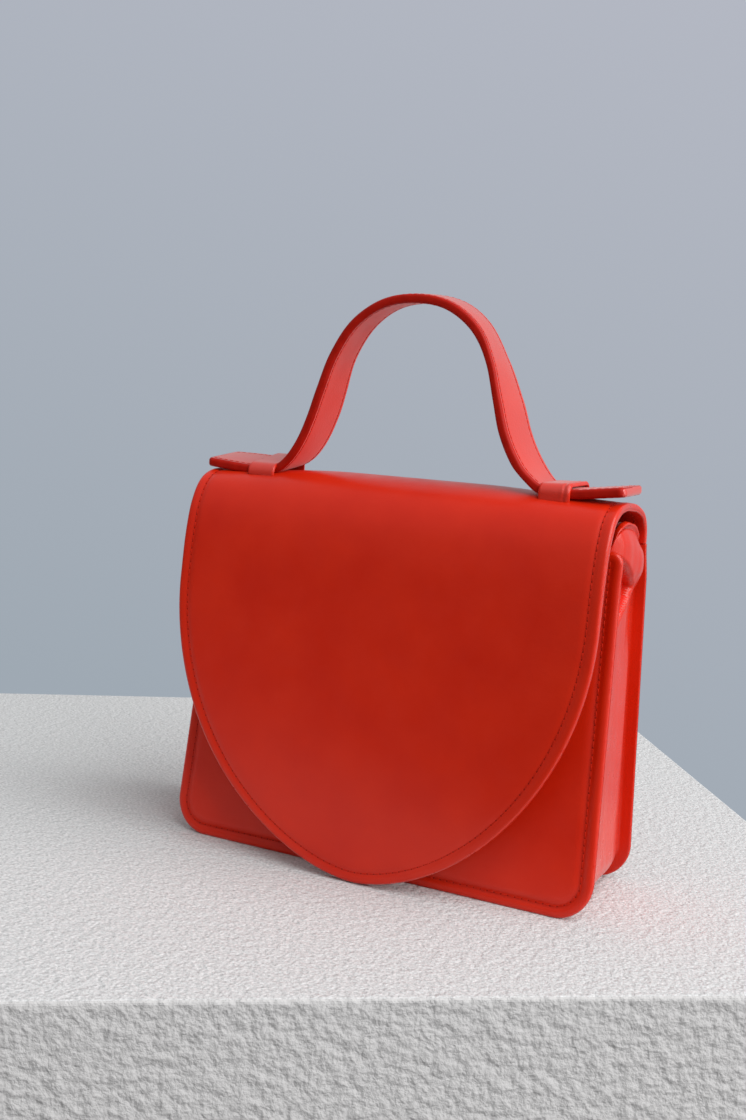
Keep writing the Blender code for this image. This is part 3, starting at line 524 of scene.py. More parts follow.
def sew(name, runs, **sizes):
    """Stitches along one or more runs of (points, directions out of the leather)."""
    points, edges, outs = [], [], []
    for path, out in runs:
        start = len(points)
        points += path.tolist()
        outs += out.tolist()
        edges += [(start + i, start + i + 1) for i in range(len(path) - 1)]
    mesh = bpy.data.meshes.new(name)
    mesh.from_pydata(points, edges, [])
    carried = mesh.attributes.new("out_of_leather", "FLOAT_VECTOR", "POINT")
    carried.data.foreach_set("vector", np.asarray(outs, np.float32).ravel())
    made = put(name, mesh)
    step = made.modifiers.new("sewing", "NODES")
    step.node_group = SEWING
    given = {"Thread": thread, "Hole": hole_shade_disc, **sizes}
    for item in SEWING.interface.items_tree:
        if item.in_out == "INPUT" and item.name in given:
            step[item.identifier] = given[item.name]
    bpy.context.view_layer.update()
    graph = bpy.context.evaluated_depsgraph_get()
    real = bpy.data.meshes.new_from_object(made.evaluated_get(graph))
    made.modifiers.remove(step)
    made.data = real
    real.name = name
    carried = real.attributes.get("out_of_leather")
    if carried:
        real.attributes.remove(carried)
    print(name, "polygons:", len(real.polygons))
    return made


def stitch_run(line, halves, inset, height, place, sign=1, face=1, until=0.0):
    """A stitch line at an inset from a sheet's sides and far end, and the way out of the leather.

    face is 1 on the outer face and -1 on the inner one, and height says where that face lies.
    """
    s = run_of(line)
    outline = np.concatenate([np.stack([halves, s], 1), np.stack([-halves[::-1], s[::-1]], 1)])
    keep = np.linalg.norm(outline - np.roll(outline, 1, 0), axis=1) > 1e-6
    path = inset_outline(outline[keep], inset)
    path = path[(path[:, 1] >= until) & (path[:, 1] <= s[-1] - inset + 1e-6)]
    total = run_of(path)
    path = walk(path, total, np.linspace(0, total[-1], int(total[-1] / (0.6 * MM))))
    middle = walk(line, s, path[:, 1])
    normal = walk(left_of(line) * sign, s, path[:, 1])
    base, tip = (
        place(path[:, :1], middle[:, :1] + normal[:, :1] * h, middle[:, 1:] + normal[:, 1:] * h)[:, 0]
        for h in (height, height + face * MM)
    )
    return base, (tip - base) / MM


# %% [markdown]
# ## The flap
#
# The flap is one long tongue of leather that comes off the back wall, rolls over the top and hangs in
# front, clear of the wall, down to the floor. It is built along its side view, with the tongue's width
# at each height and rows that lie closer together towards the tip. A red inner leather is glued behind
# it, so its edge shows two painted layers. Near the hinge both bend between wall and flap.

# %% Flap: side view and rows
flap_fine = smooth_line(FLAP_CURVE + [SHIFT, 0])
flap_run = run_of(flap_fine)
front_half = flap_fine[:, 0] < SHIFT - 20 * MM


def run_at_height(z):
    """The length along the flap to a height on its hanging part."""
    return np.interp(-z, -flap_fine[front_half, 1], flap_run[front_half])


row_starts = [3.5 * MM, *run_at_height(np.array([60, 28, 9, 1.9]) * MM)]
row_gaps = np.array([1.7, 0.9, 0.5, 0.25]) * MM
flap_rows = np.concatenate([
    np.array([0, 0.4, 1, 2]) * MM,
    *(np.arange(low, high, gap) for low, high, gap in zip(row_starts, row_starts[1:], row_gaps)),
    run_at_height(FLAP_TIP + np.array([0.6, 0.4, 0.22, 0.1, 0.03]) * MM),
])
# Two rows at one place would show as a crease.
flap_rows = flap_rows[np.concatenate([[True], np.diff(flap_rows) > 0.02 * MM])]
flap_line = walk(flap_fine, flap_run, flap_rows)
flap_halves = half_flap(flap_line[:, 0], flap_line[:, 1])
FLAP_LEATHER = 2.45 * MM
FLAP_INSIDE = 1.0 * MM
FLAP_SEAM = 4.7 * MM
STIFF_EDGE = 12 * MM
print("flap rows:", len(flap_line))


def flap_relief(across, length, d):
    """The seam's groove and the leather's slow unevenness."""
    slow = unevenness(across, length, 70 * MM, 3) * 0.22 * MM
    slow += unevenness(across, length, 26 * MM, 5) * 0.04 * MM
    slow *= np.clip(d / STIFF_EDGE, 0, 1)
    return groove(d, FLAP_SEAM, 0.35 * MM, 1.3 * MM) + slow, slow


def flap_inner_relief(across, length, d):
    """The same seam from behind."""
    slow, same = flap_relief(across, length, d)
    return same, same - groove(d, FLAP_SEAM, 0.15 * MM, 1.1 * MM)


def on_roll(across, first, second):
    """Upright places, with the roll's ridge a little higher in the middle and lower towards its ends."""
    over = soft_step(second, 152 * MM, 166 * MM) * soft_step(first, -26 * MM, 0.0)
    arch = 0.8 * MM - 2.3 * MM * soft_step(np.abs(across), 30 * MM, 92 * MM)
    return upright(across, first, second + over * arch)


# %% Flap: leather, inner leather and seam
ROUND_EDGE = (1.3 * MM, 0.12 * MM)
flap = sheet("flap_leather", flap_line, flap_halves, FLAP_LEATHER, ROUND_EDGE, on_roll, flap_relief, -1, True)
inside_line = flap_line + left_of(flap_line) * (FLAP_LEATHER + 0.05 * MM)
# The flap's inner leather takes the lightened red: painted light on its shaded back.
flap_inside = sheet(
    "flap_inner_leather", inside_line, flap_halves, FLAP_INSIDE, (0.12 * MM, 0.8 * MM), on_roll,
    flap_inner_relief, -1, True, materials=(lightened_inner_leather, edge_paint),
)
flap_seam = sew("flap_seam", [
    stitch_run(flap_line, flap_halves, FLAP_SEAM, -0.3 * MM, on_roll, -1),
    stitch_run(inside_line, flap_halves, FLAP_SEAM, -FLAP_INSIDE + 0.05 * MM, on_roll, -1, -1),
])
for piece, slot in ((flap, "red_leather"), (flap_inside, "flap_lining"), (flap_seam, "red_leather")):
    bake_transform(piece)
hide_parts("flap", "flap_core")
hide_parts("flap_lining")

# %% [markdown]
# ## The front and back walls
#
# Each wall is a flat sheet with two round corners at the floor. The gusset's flange is sewn behind it,
# so panel and flange make one edge of two painted layers. The leather is drawn tight over a board, so
# it is nearly flat, with a very low crown.

# %% Walls
WALL_LEATHER = 1.75 * MM
WALL_SEAM = 5.0 * MM
FRONT_CORNER = 4.8 * MM


def wall_relief(across, length, d):
    """A groove under the seam, a margin that rolls off to the edge, a low crown and a little unevenness."""
    crown = 0.35 * MM * (1 - np.exp(-((d / (32 * MM)) ** 2)))
    crown -= 0.6 * MM * np.clip(1 - d / (4.2 * MM), 0, 1) ** 2
    slow = unevenness(across, length, 60 * MM, 11) * 0.12 * MM * np.clip(d / STIFF_EDGE, 0, 1)
    return groove(d, WALL_SEAM, 0.75 * MM, 1.6 * MM) + crown + slow, 0 * d


for side, body, foot, slope, sign in SIDES:
    line = plate_line(foot, slope, 0.0)
    halves = half_plate(line[:, 1])
    if side == "front":
        halves = half_plate(line[:, 1], drawn_in=-0.4 * MM) - rounding(WALL_HEIGHT - line[:, 1], FRONT_CORNER)
    panel = sheet(
        f"{side}_wall_leather", line, halves, WALL_LEATHER, ROUND_EDGE, upright, wall_relief, sign,
        open_start=side == "back",
    )
    run = stitch_run(line, halves, WALL_SEAM, -0.12 * MM, upright, sign, until=1 * MM)
    seam = sew(f"{side}_wall_seam", [run])
    for piece in (panel, seam):
        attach(piece, body)
    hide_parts(f"{side}_panel")

# %% [markdown]
# ## The gusset
#
# One strip of leather makes both sides and the bottom. Its two flanges lie flat behind the walls. At
# their seams the web turns outwards again in a soft puff, so it stands only some 3 mm inside the
# walls' edges. Near the top the front half of the web is pressed in, which makes the fold that lets
# the bag open, and above that the leather puffs out under the flap up to its rolled hem.
#
# `NET` holds insets from the walls' outline, measured on the photo: a row for each of `NET_HEIGHTS`,
# a column for each of `NET_ACROSS`, which go from the front wall (0) to the back wall (1). `FOLD` has
# places across in its first row and then the height where the fold starts, the height where it ends
# and its depth, in millimetres. `HEM_TOP` is the height of the upper edge at the places of `NET_ACROSS`.

# %% Gusset: the net
NET_HEIGHTS = np.array([0, 20, 60, 98, 128, 131, 134, 137, 141, 145, 150, 157]) * MM
NET_ACROSS = np.array([0, 0.08, 0.18, 0.3, 0.42, 0.54, 0.66, 0.8, 0.91, 1.0])
NET = np.array([
    [6.0, 3.6, 3.2, 3.2, 3.2, 3.2, 3.2, 3.5, 4.7, 6.0],
    [6.0, 3.7, 3.3, 3.5, 3.7, 3.7, 3.5, 3.6, 4.7, 6.0],
    [6.0, 3.8, 3.2, 3.6, 3.9, 3.8, 3.5, 3.4, 4.7, 6.0],
    [6.0, 3.9, 3.4, 3.5, 3.6, 3.5, 3.4, 3.4, 4.7, 6.0],
    [6.0, 3.8, 3.3, 3.4, 3.4, 3.3, 3.1, 3.3, 4.7, 6.0],
    [6.0, 3.8, 3.2, 3.2, 3.1, 3.0, 2.8, 2.5, 3.0, 6.0],
    [6.0, 3.8, 3.0, 2.8, 2.6, 2.4, 2.1, 1.3, 1.8, 6.0],
    [6.0, 3.9, 2.8, 2.2, 1.9, 1.5, 1.0, 0.2, 0.9, 6.0],
    [6.0, 4.0, 2.6, 1.7, 1.2, 0.8, 0.3, -0.3, 0.5, 6.0],
    [6.0, 4.2, 2.4, 1.4, 0.8, 0.5, 0.2, 0.0, 0.8, 6.0],
    [6.0, 4.4, 2.2, 1.2, 0.8, 0.7, 0.9, 1.8, 3.2, 6.0],
    [6.0, 5.0, 3.8, 3.4, 3.4, 3.5, 3.8, 4.6, 5.4, 6.4],
]) * MM
FOLD = np.array([
    [0, 0.08, 0.18, 0.34, 0.42, 0.54, 0.62, 0.70, 0.76, 0.80, 1.0],
    [104, 107, 111, 116, 118.5, 122, 125, 128, 130, 131, 131],
    [147, 145.5, 144, 141.2, 139.4, 136.4, 134, 132, 131, 131, 131],
    [0, 5.2, 8.2, 8.8, 8.8, 8.6, 8.0, 6.0, 3.0, 0, 0],
])
FOLD_LAP = 1.6 * MM
HEM_TOP = np.array([147.3, 154.4, 157.4, 158.6, 158.8, 158.2, 157.3, 155.0, 151.5, 148.0]) * MM
BEND_FROM = 112 * MM
GUSSET_LEATHER = 1.3 * MM
HEM = 2.0 * MM


def read_smoothly(known, values, wanted):
    """Values read from each row of a table, with a smooth curve through its columns."""
    i = np.clip(np.searchsorted(known, wanted, side="right") - 1, 0, len(known) - 2)
    h = known[i + 1] - known[i]
    t = (wanted - known[i]) / h
    slope = np.gradient(values, known, axis=-1)
    return (
        values[..., i] * (1 + 2 * t) * (1 - t) ** 2 + slope[..., i] * h * t * (1 - t) ** 2
        + values[..., i + 1] * t * t * (3 - 2 * t) - slope[..., i + 1] * h * t * t * (1 - t)
    )


def edge_path():
    """Half the walls' outline, from the right top to the middle of the floor, and its inward side."""
    heights = np.concatenate([
        WALL_HEIGHT - np.array([0, 0.1, 0.3, 0.55, 0.85, 1.15, 1.45, 1.75, 2.05, 2.4, 2.8, 3.3]) * MM,
        np.linspace(WALL_HEIGHT - 4.0 * MM, 104 * MM, 54),
        np.linspace(102 * MM, CORNER, 30),
    ])
    side = np.stack([half_plate(heights), heights], 1)
    turn = np.linspace(0, math.pi / 2, 15)[1:]
    round_part = np.stack([side[-1, 0] - CORNER * (1 - np.cos(turn)), CORNER * (1 - np.sin(turn))], 1)
    floor = np.stack([np.linspace(round_part[-1, 0], 0, 24)[1:], np.zeros(23)], 1)
    path = np.concatenate([side, round_part, floor])
    inward = -left_of(path)
    inward[-23:] = (0, 1)
    return path, inward


def strip(depth, insets, flange):
    """Points of a strip between the walls: rows along the outline, columns from front to back."""
    path, inward = edge_path()
    share = np.clip((path[:, 1] - BEND_FROM) / (WALL_HEIGHT - BEND_FROM), 0, 1)[:, None]
    across = 0.5 - 0.5 * np.cos(np.linspace(0, math.pi, 57))
    across = 0.6 * across + 0.4 * np.linspace(0, 1, 57)
    hem = read_smoothly(NET_ACROSS, HEM_TOP, across)
    rise = (hem - WALL_HEIGHT) * share**1.4
    columns = read_smoothly(NET_ACROSS, NET, across)
    on_net = np.clip(path[:, 1:] + rise, 0, NET_HEIGHTS[-1])
    web = np.stack([read_smoothly(NET_HEIGHTS, *pair) for pair in zip(columns.T, on_net.T)], 1)
    fold_from, fold_to, fold_depth = (np.interp(across, FOLD[0], row) * MM for row in FOLD[1:])
    height = path[:, 1:] + rise
    pressed = soft_step(height, fold_from - depth - 0.4 * MM, fold_from - depth + 2.4 * MM) * (
        1 - soft_step(height, fold_to + depth - 1.8 * MM, fold_to + depth + 0.8 * MM)
    )
    web = web + depth + fold_depth * pressed
    near_fold = np.exp(-(((height - fold_from + 0.6 * MM) / (3 * MM)) ** 2))
    lap = FOLD_LAP * near_fold * np.clip(fold_depth / (6 * MM), 0, 1)
    flat = np.ones((len(path), 1)) * insets
    corner_cut = np.minimum(rounding(WALL_HEIGHT - path[:, 1:], FRONT_CORNER), insets[-1])
    distance = np.concatenate([np.maximum(flat, corner_cut), web, flat[:, ::-1]], 1)
    lift = np.concatenate([0 * flat + rise[:, :1], rise, 0 * flat + rise[:, -1:]], 1)
    x = path[:, :1] + inward[:, :1] * distance
    z = path[:, 1:] + inward[:, 1:] * distance
    x[-1] = 0.0
    behind = flange + depth
    front = FRONT_FOOT + FRONT_SLOPE * z + behind
    back = BACK_FOOT + BACK_SLOPE * z - behind
    n = len(insets)
    turn = 0.7 * MM
    y_web = (front[:, n:-n] + turn) * (1 - across) + (back[:, n:-n] - turn) * across - lap
    bend = soft_step(insets, 4.8 * MM, 6.1 * MM) * turn * 0.8
    y = np.concatenate([front[:, :n] + bend, y_web, back[:, -n:] - bend[::-1]], 1)
    half = np.stack([x, y, z + lift], 2)
    return np.concatenate([half, half[-2::-1] * np.array([-1, 1, 1])])


def outwards(grid):
    """The direction out of the strip at each of its points."""
    n = np.cross(np.gradient(grid, axis=0), np.gradient(grid, axis=1))
    n *= np.sign((n[..., 0] * grid[..., 0]).sum())
    return n / np.maximum(np.linalg.norm(n, axis=2), 1e-12)[..., None]


# %% Gusset: the strip
FLANGE_INSETS = np.array([0, 0.1, 0.25, 0.5, 0.9, 1.5, 2.4, 3.4, 4.2, 4.8, 5.2, 5.6, 5.9]) * MM
outer = strip(0.0, FLANGE_INSETS, WALL_LEATHER + GUSSET_LEATHER)
out = outwards(outer)
rows, columns = outer.shape[:2]
to_side = np.minimum(np.arange(columns), np.arange(columns)[::-1])
last = len(FLANGE_INSETS) - 1
side_distance = np.where(to_side <= last, FLANGE_INSETS[np.minimum(to_side, last)], 9 * MM)
top_run = run_of(outer[: rows // 2 + 1, columns // 2])
top_distance = np.concatenate([top_run, top_run[-2::-1]])
gusset_edge = np.minimum(side_distance, top_distance[:, None])
in_web = soft_step(to_side, last + 2, last + 8)
from_hem = (top_distance / HEM)[:, None]
lip = 1.4 * MM * np.sqrt(np.clip(1 - (2 * from_hem - 1) ** 2, 0, 1)) * (from_hem < 1)
under_lip = 1.7 * MM * np.exp(-(((from_hem - 1.15) / 0.24) ** 2))
ripple = 0.22 * MM * unevenness(outer[..., 1], outer[..., 2] * 0.16, 8 * MM, 77)
height = (lip - under_lip + ripple) * in_web - rounding(gusset_edge, 0.6 * MM)
behind_lip = np.clip(under_lip - 1.05 * MM, 0, None) * in_web
thickness = GUSSET_LEATHER + behind_lip - rounding(gusset_edge, 0.5 * MM)
gusset_outside = outer + out * height[..., None]
gusset = shell(
    "gusset_leather", gusset_outside, outer - out * thickness[..., None], gusset_edge,
    (gusset_leather, edge_paint), lightened_inner_leather,
)
# Painted shade: the deep faces of the fold get the duller, more saturated inner leather, so the shaded hollow
# shows a deep red and no reflection.
for face in gusset.data.polygons:
    x, y, z = face.center
    to_front, to_back = y - FRONT_FOOT - FRONT_SLOPE * z, BACK_FOOT + BACK_SLOPE * z - y
    deep = half_plate(z) - abs(x) > 5.4 * MM and min(to_front, to_back) > 6 * MM
    if deep and 105 * MM < z < 146 * MM:
        face.material_index = 2
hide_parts("gusset")
sewn = slice(10, -10)
gusset_seam = sew("gusset_seams", [
    (gusset_outside[sewn, c] - 0.2 * MM * out[sewn, c], out[sewn, c])
    for c in (last - 4, columns - 1 - (last - 4))
])
for piece in (gusset, gusset_seam):
    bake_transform(piece)
print("gusset grid:", rows, "x", columns)

# %% [markdown]
# ## Inside the bag
#
# Opened, the bag shows a woven lining on the walls and the strip, and a slip pocket on the back.
# Beside the gusset's fold the front lining is a little narrower. The boards behind the lining stay as
# the frame's own solids and only get their finish.

# %% Linings and pocket
LINING_FACE = 3.38 * MM
LINING = 0.85 * MM
LINING_INSET = 8.4 * MM
LINING_FLOOR = 7.9 * MM
CLOTH_CORNER = 8 * MM
CLOTH_EDGE = (0.1 * MM, 0.3 * MM)


def cloth_relief(across, length, d):
    """The slight waves of glued cloth, and a hem along the edges."""
    slow = unevenness(across, length, 22 * MM, 21) * 0.08 * MM * np.clip(d / (6 * MM), 0, 1)
    return 0 * d, slow - groove(d, 3 * MM, 0.12 * MM, 0.5 * MM)


cloth = (lining_cloth, lining_cloth)
for side, body, foot, slope, sign in SIDES:
    beside_fold = 4.0 * MM if side == "front" else 0.0
    line = plate_line(foot, slope, -sign * LINING_FACE, LINING_FLOOR, CLOTH_CORNER, WALL_HEIGHT - 0.1 * MM)
    inset = LINING_INSET + beside_fold * soft_step(line[:, 1], 96 * MM, 110 * MM)
    halves = half_plate(line[:, 1], inset, LINING_FLOOR, CLOTH_CORNER)
    lining = sheet(
        f"{side}_lining_cloth", line, halves, LINING, CLOTH_EDGE, upright, cloth_relief, sign, materials=cloth
    )
    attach(lining, body)
    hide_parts(f"{side}_lining")

pocket_low, pocket_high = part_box("slip_pocket")
line = plate_line(
    BACK_FOOT, BACK_SLOPE, -(LINING_FACE + LINING + 0.25 * MM), pocket_low.z, CLOTH_CORNER, pocket_high.z
)
pocket_halves = pocket_high.x - rounding(line[:, 1] - pocket_low.z, CLOTH_CORNER)
pocket = sheet(
    "slip_pocket_cloth", line, pocket_halves, LINING, CLOTH_EDGE, upright, cloth_relief, 1, materials=cloth
)
pocket_seam = sew("slip_pocket_seam", [
    stitch_run(line, pocket_halves, 2.2 * MM, -LINING - 0.02 * MM, upright, 1, -1)
], Length=1.9 * MM, Width=0.35 * MM, Height=0.3 * MM, Pitch=2.6 * MM)
for piece in (pocket, pocket_seam):
    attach(piece, "body")
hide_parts("slip_pocket")

strip_outer = strip(GUSSET_LEATHER + 0.8 * MM, np.array([0.0]), 2.1 * MM)[2:-2, 1:-1]
strip_outer[..., 2] += 1.8 * MM * np.clip((12 * MM - strip_outer[..., 2]) / (4 * MM), 0, 1)
strip_inner = strip_outer - outwards(strip_outer) * 0.8 * MM
strip_lining = shell("gusset_lining_cloth", strip_outer, strip_inner, np.ones(strip_outer.shape[:2]), cloth)
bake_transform(strip_lining)
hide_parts("gusset_lining")

# %% [markdown]
# ## The handle
#
# One strap of two leathers over a soft core, sewn near both edges. It lies flat through the keepers
# and stands up in an arch between them. The arch isn't quite even: its left leg leans in a little, the
# right end lifts off the roll, and the strap's back edge twists to the left towards the top.

# %% Handle
HANDLE_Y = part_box("handle_top_layer")[0].y + 12.75 * MM
STRAP_HALF = 12.25 * MM
STRAP = 4.0 * MM
STRAP_SEAM = 2.7 * MM
PADDLE_CORNER = 2.8 * MM
ARCH = np.array([
    (-98.0, 171.1), (-86, 170.5), (-75, 170.0), (-67, 169.9), (-61.5, 171.0), (-56.2, 175.0), (-51.0, 182.4),
    (-46.5, 192.8), (-42.4, 205.6), (-36.9, 220.5), (-27.9, 234.1), (-14.9, 242.7), (0, 245.2), (14.9, 242.7),
    (27.5, 234.1), (36, 220.5), (41.1, 205.6), (45.1, 192.8), (49.9, 183.0), (55.7, 175.0), (61, 170.6),
    (67, 169.7), (76, 169.7), (86, 170.9), (97.0, 172.3),
]) * MM
strap_fine = smooth_line(ARCH)
strap_run = run_of(strap_fine)
strap_end = strap_run[-1]
end_rows = np.array([0, 0.1, 0.25, 0.5, 0.85, 1.3, 1.8, 2.4, 3.0, 3.6, 4.3]) * MM
strap_rows = np.arange(5.2 * MM, strap_end - 5 * MM, 1.3 * MM)
strap_rows = np.concatenate([end_rows, strap_rows, strap_end - end_rows[::-1]])
strap_middle = walk(strap_fine, strap_run, strap_rows)
strap_top = strap_middle + left_of(strap_middle) * STRAP / 2
to_end = np.minimum(strap_rows, strap_end - strap_rows)
flare = 0.5 * MM * np.clip((22 * MM - to_end) / (8 * MM), 0, 1)
strap_halves = STRAP_HALF + flare - rounding(to_end, PADDLE_CORNER)


def along_strap(across, first, second):
    """The strap stands in X and Z, leans back towards its top, twists and droops a little."""
    lean = 2.8 * MM * np.clip((second - 0.1713) / 0.0739, 0, 1)
    twist = soft_step(first, 30 * MM, 44 * MM) * soft_step(second, 170 * MM, 180 * MM)
    turned = first + twist * (across / STRAP_HALF * 1.3 - 0.5) * MM
    behind = np.clip((across / STRAP_HALF + 1) / 2, 0, 1)
    turned = turned - 2.6 * MM * behind * soft_step(second, 196 * MM, 226 * MM)
    left_leg = np.array([-98, -76, -66, -55, -46]) * MM
    droop = across * np.interp(first, left_leg, [0.09, 0.16, 0.16, 0.06, 0])
    droop = droop + 1.5 * MM * behind * soft_step(second, 222 * MM, 243 * MM)
    return np.stack(np.broadcast_arrays(turned, HANDLE_Y + lean + across, second + droop), 2)


def strap_relief(across, length, d):
    """A low crown between the two seams and a groove under each."""
    crown = 0.25 * MM * (1 - np.exp(-((d / (6 * MM)) ** 2)))
    slow = unevenness(across, length, 18 * MM, 31) * 0.05 * MM
    press = groove(d, STRAP_SEAM, 0.2 * MM, 0.4 * MM)
    return press + crown + slow - 0.1 * MM, -press - crown * 0.5 + 0.05 * MM + slow


# The strap's inner face gets a lighter copy of the red, painted light, and its edges a darker edge paint,
# painted shade.
strap = sheet(
    "handle_strap", strap_top, strap_halves, STRAP, (1.3 * MM, 1.3 * MM), along_strap, strap_relief,
    materials=(strap_leather, shaded_strap_paint), inside=lit_strap_inner,
)
strap_seam = sew("handle_seams", [
    stitch_run(strap_top, strap_halves, STRAP_SEAM, -0.16 * MM, along_strap, 1, 1, STRAP_SEAM),
    stitch_run(strap_top, strap_halves, STRAP_SEAM, -STRAP + 0.14 * MM, along_strap, 1, -1, STRAP_SEAM),
])
# The strap's end faces catch the light, so they get the lighter strap leather instead of the dark edge paint:
# painted light.
for face in strap.data.polygons:
    if abs(face.center.x) > 95 * MM and abs(face.normal.x) > 0.6:
        face.material_index = 0
for piece in (strap, strap_seam):
    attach(piece, "handle")
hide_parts("handle_top_layer", "handle_core", "handle_under_layer")

# %% [markdown]
# ## The keepers
#
# Two short loops hold the strap down. Each is a band that stands on the roll in front, bends over the
# strap and goes down behind it. The right one is worn: it has a few upright wrinkles and its outer
# side stands a little away from the strap. The left one tips forwards with the strap.

# %% Keepers
KEEPER = 1.3 * MM
KEEPER_HALF = 6.7 * MM
STRAP_IN_KEEPER = 170.0 * MM


def roll_height(y):
    """Height of the roll's outer face at a depth."""
    over = (flap_fine[:, 1] > 0.148) & (flap_fine[:, 0] < 0.04)
    return np.interp(-y, -flap_fine[over, 0], flap_fine[over, 1])


def keeper(name, loose, wrinkles, lean, reach):
    """A band over the strap at one place along it.

    loose lifts its right side, wrinkles is the depth of its folds, lean tips its top forwards and
    reach moves its front foot forwards.
    """
    low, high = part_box(name)
    middle_x, middle_y = (low.x + high.x) / 2, (low.y + high.y) / 2
    front, back, top = low.y - reach, high.y, STRAP_IN_KEEPER + STRAP / 2 + KEEPER + 0.15 * MM
    bend = 4.2 * MM
    turn = np.linspace(0, math.pi / 2, 9)
    up = np.linspace(roll_height(front) - 1.4 * MM, top - bend, 9)[:-1]
    down = np.linspace(top - bend, roll_height(back) - 1.4 * MM, 9)[1:]
    flat = np.linspace(front + bend, back - bend, 22)[1:-1]
    rise, fall = bend * (1 - np.cos(turn)), bend * (1 - np.sin(turn))
    parts = (front, up), (front + rise, top - fall), (flat, top), (back - fall, top - rise), (back, down)
    line = np.concatenate([np.stack(np.broadcast_arrays(*part), 1) for part in parts])
    halves = np.full(len(line), KEEPER_HALF)

    def place(across, first, second):
        second = second + lean * (first - middle_y) * soft_step(second, 166 * MM, 169 * MM)
        lift = loose * np.clip((across / KEEPER_HALF + 1) / 2, 0, 1)
        lift = lift * np.clip((second - 171 * MM) / (3 * MM), 0, 1)
        return np.stack([across + middle_x, first + 0 * across, second + lift], 2)

    def relief(across, length, d):
        fold = np.sin(across / MM * 2.6 + 0.6 * np.sin(length / MM)) * wrinkles
        fold *= np.clip(d / (1.5 * MM), 0, 1) * soft_step(across / KEEPER_HALF, 0.1, 0.7)
        return fold, fold

    made = sheet(
        f"{name}_leather", line, halves, KEEPER, (1 * MM, 0.25 * MM), place, relief,
        materials=(strap_leather, edge_paint),
    )
    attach(made, "flap_body")
    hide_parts(name)


keeper("left_keeper", 0.0, 0.02 * MM, 0.15, 1.3 * MM)
keeper("right_keeper", 0.6 * MM, 0.14 * MM, 0.0, 0.0)

# %% [markdown]
# ## The pieces kept from the frame
#
# Boards and snap parts have the right shape already. They only get their finish, and the walls'
# boards are painted red on top, where they show along the mouth.

# %% Finishes of the frame's own pieces
for name, finish in (
    ("front_board", bag_board), ("back_board", bag_board), ("base_board", bag_board),
    ("snap_socket", nickel), ("snap_stud", nickel), ("snap_socket_washer", nickel),
    ("snap_stud_washer", nickel), ("snap_magnet", magnet_black),
):
    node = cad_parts[name]
    node.data.materials.clear()
    node.data.materials.append(finish)
    if name in ("front_board", "back_board"):
        node.data.materials.append(edge_paint)
        for face in node.data.polygons:
            face.material_index = int(face.normal.z > 0.7)

# %% [markdown]
# ## Floor, light and camera
#
# The bag stands on the corner of a pale plastered block, sandy on top and rougher at the sides. One
# large soft lamp from the front right gives the bright side and the soft shadow to the left, and a
# small low one behind it lights the gusset. The rest comes from the world, which has its own colours
# for what the camera sees, for what the leather mirrors and for the light in the room. The camera's
# place was found from the bag's edges in the photo.

# %% Stage
# The block's sides are rougher than its top, as the real block is, and a darker grey: painted shade on its
# faces.
sides, tree, shader, place = new_material("rough plaster, darkened as painted shade", (0.57, 0.561, 0.555), 0.9)
give(tree, shader, {"Normal": bump(tree, noise(tree, place, 230, 4), 2.6 * MM, 0.9)})
plaster, tree, shader, place = new_material("sandy plaster", (0.63, 0.637, 0.636), 0.9)
trowelled = bump(tree, noise(tree, place, 240, 6), 2.0 * MM, 0.7)
give(tree, shader, {
    "Base Color": two_tone(tree, noise(tree, place, 800), (0.49, 0.497, 0.496), (0.77, 0.777, 0.776)),
    "Normal": bump(tree, noise(tree, place, 620), 0.9 * MM, 0.7, trowelled),
})
block_mesh = bpy.data.meshes.new("pale_block")
angle = math.radians(33.9)
along, into = Vector((math.cos(angle), math.sin(angle))), Vector((-math.sin(angle), math.cos(angle)))
corners = [along * u + into * v for u, v in ((-0.9, -0.1395), (0.188, -0.1395), (0.188, 0.283), (-0.9, 0.283))]
top = [(c.x, c.y + SHIFT, 0.0) for c in corners]
bottom = [(x, y, -0.5) for x, y, _ in top]
block_mesh.from_pydata(
    top + bottom, [], [(0, 1, 2, 3), (7, 6, 5, 4), (0, 4, 5, 1), (1, 5, 6, 2), (2, 6, 7, 3), (3, 7, 4, 0)]
)
block_mesh.materials.append(plaster)
block_mesh.materials.append(sides)
for face in block_mesh.polygons[1:]:
    face.material_index = 1
block = put("pale_block", block_mesh)
softer = block.modifiers.new("worn_edges", "BEVEL")
softer.width = 1.5 * MM
softer.segments = 3

# %% Lamps
def soft_lamp(name, place, aim, size, power):
    """A square area lamp that looks at a point."""
    data = bpy.data.lights.new(name, "AREA")
    data.shape = "SQUARE"
    data.size = size
    data.energy = power
    lamp = put(name, data)
    lamp.location = place
    lamp.rotation_euler = (Vector(aim) - Vector(place)).to_track_quat("-Z", "Y").to_euler()


soft_lamp("window", (1.49, -0.40, 1.71), (0, 0, 0.08), 2.2, 57)
soft_lamp("low window", (1.9, 0.4, 0.42), (0, 0, 0.12), 1.1, 5)

# %% World
world = bpy.data.worlds.new("studio")
bpy.context.scene.world = world
world.use_nodes = True
sky = world.node_tree
where = add_node(sky, "ShaderNodeTexCoord", {}).outputs["Generated"]
X, Y, Z = add_node(sky, "ShaderNodeSeparateXYZ", {"Vector": where}).outputs
rays = add_node(sky, "ShaderNodeLightPath", {}).outputs


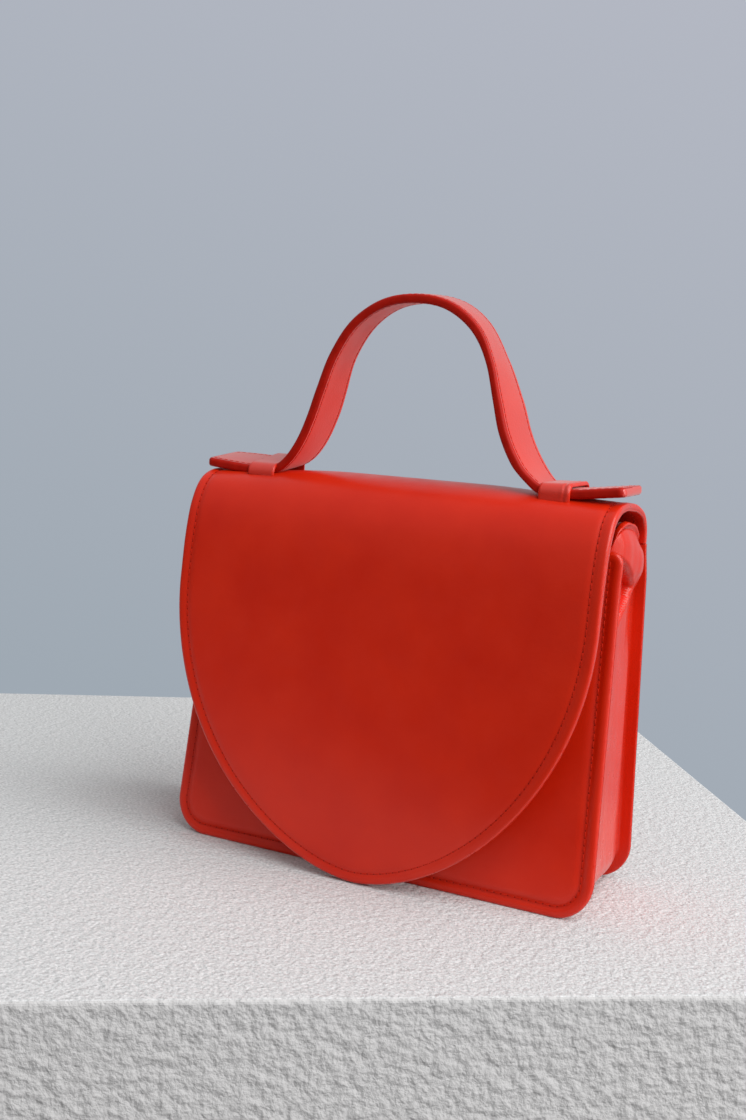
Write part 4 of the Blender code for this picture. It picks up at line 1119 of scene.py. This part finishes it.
def choose(share, first, second):
    """Two colours mixed by a share. The node's colours are its inputs 6 and 7 and its output 2."""
    first, second = ((*c, 1) if isinstance(c, tuple) else c for c in (first, second))
    return add_node(sky, "ShaderNodeMix", {"Factor": share, 6: first, 7: second}, data_type="RGBA").outputs[2]


def fade(value, low, high, first, second):
    """A colour that changes with a value, from one bound to the other."""
    share = add_node(sky, "ShaderNodeMapRange", {"Value": value, "From Min": low, "From Max": high})
    return choose(share.outputs["Result"], first, second)


slant = add_node(sky, "ShaderNodeMath", {0: X, 1: 0.35, 2: Z}, operation="MULTIPLY_ADD").outputs["Value"]
wall = fade(slant, -0.45, 0.2, (0.347, 0.397, 0.451), (0.456, 0.479, 0.546))
mirrored = fade(Y, -0.4, 0.45, (0.006, 0.006, 0.007), (0.46, 0.48, 0.52))
mirrored = fade(Z, 0.2, 0.8, mirrored, (0.50, 0.51, 0.54))
room = fade(Z, -0.1, 0.45, (0.12, 0.12, 0.12), (0.46, 0.465, 0.475))
room = fade(X, 0.35, 0.8, room, (0.72, 0.72, 0.74))
both_rays = {0: rays["Is Camera Ray"], 1: rays["Is Transmission Ray"]}
seen = add_node(sky, "ShaderNodeMath", both_rays, operation="MAXIMUM").outputs["Value"]
unseen = choose(rays["Is Glossy Ray"], room, mirrored)
give(sky, sky.nodes["Background"], {"Color": choose(seen, unseen, wall)})

# %% Camera
data = bpy.data.cameras.new("camera")
camera = put("camera", data)
bpy.context.scene.camera = camera
data.sensor_fit = "VERTICAL"
data.sensor_height = 36
data.lens = 42.11
data.clip_start = 0.01
yaw, pitch, roll = (math.radians(v) for v in (26.228, 7.662, 3.128))
forward = Vector((-math.sin(yaw) * math.cos(pitch), math.cos(yaw) * math.cos(pitch), -math.sin(pitch)))
level = Vector((math.cos(yaw), math.sin(yaw), 0))
above = level.cross(forward)
right = level * math.cos(roll) + above * math.sin(roll)
upward = above * math.cos(roll) - level * math.sin(roll)
turned = Matrix((right, upward, -forward)).transposed().to_4x4()
camera.matrix_world = Matrix.Translation((0.235545, -0.516556 + SHIFT, 0.209084)) @ turned

# %% View transform
bpy.context.scene.view_settings.view_transform = "Standard"
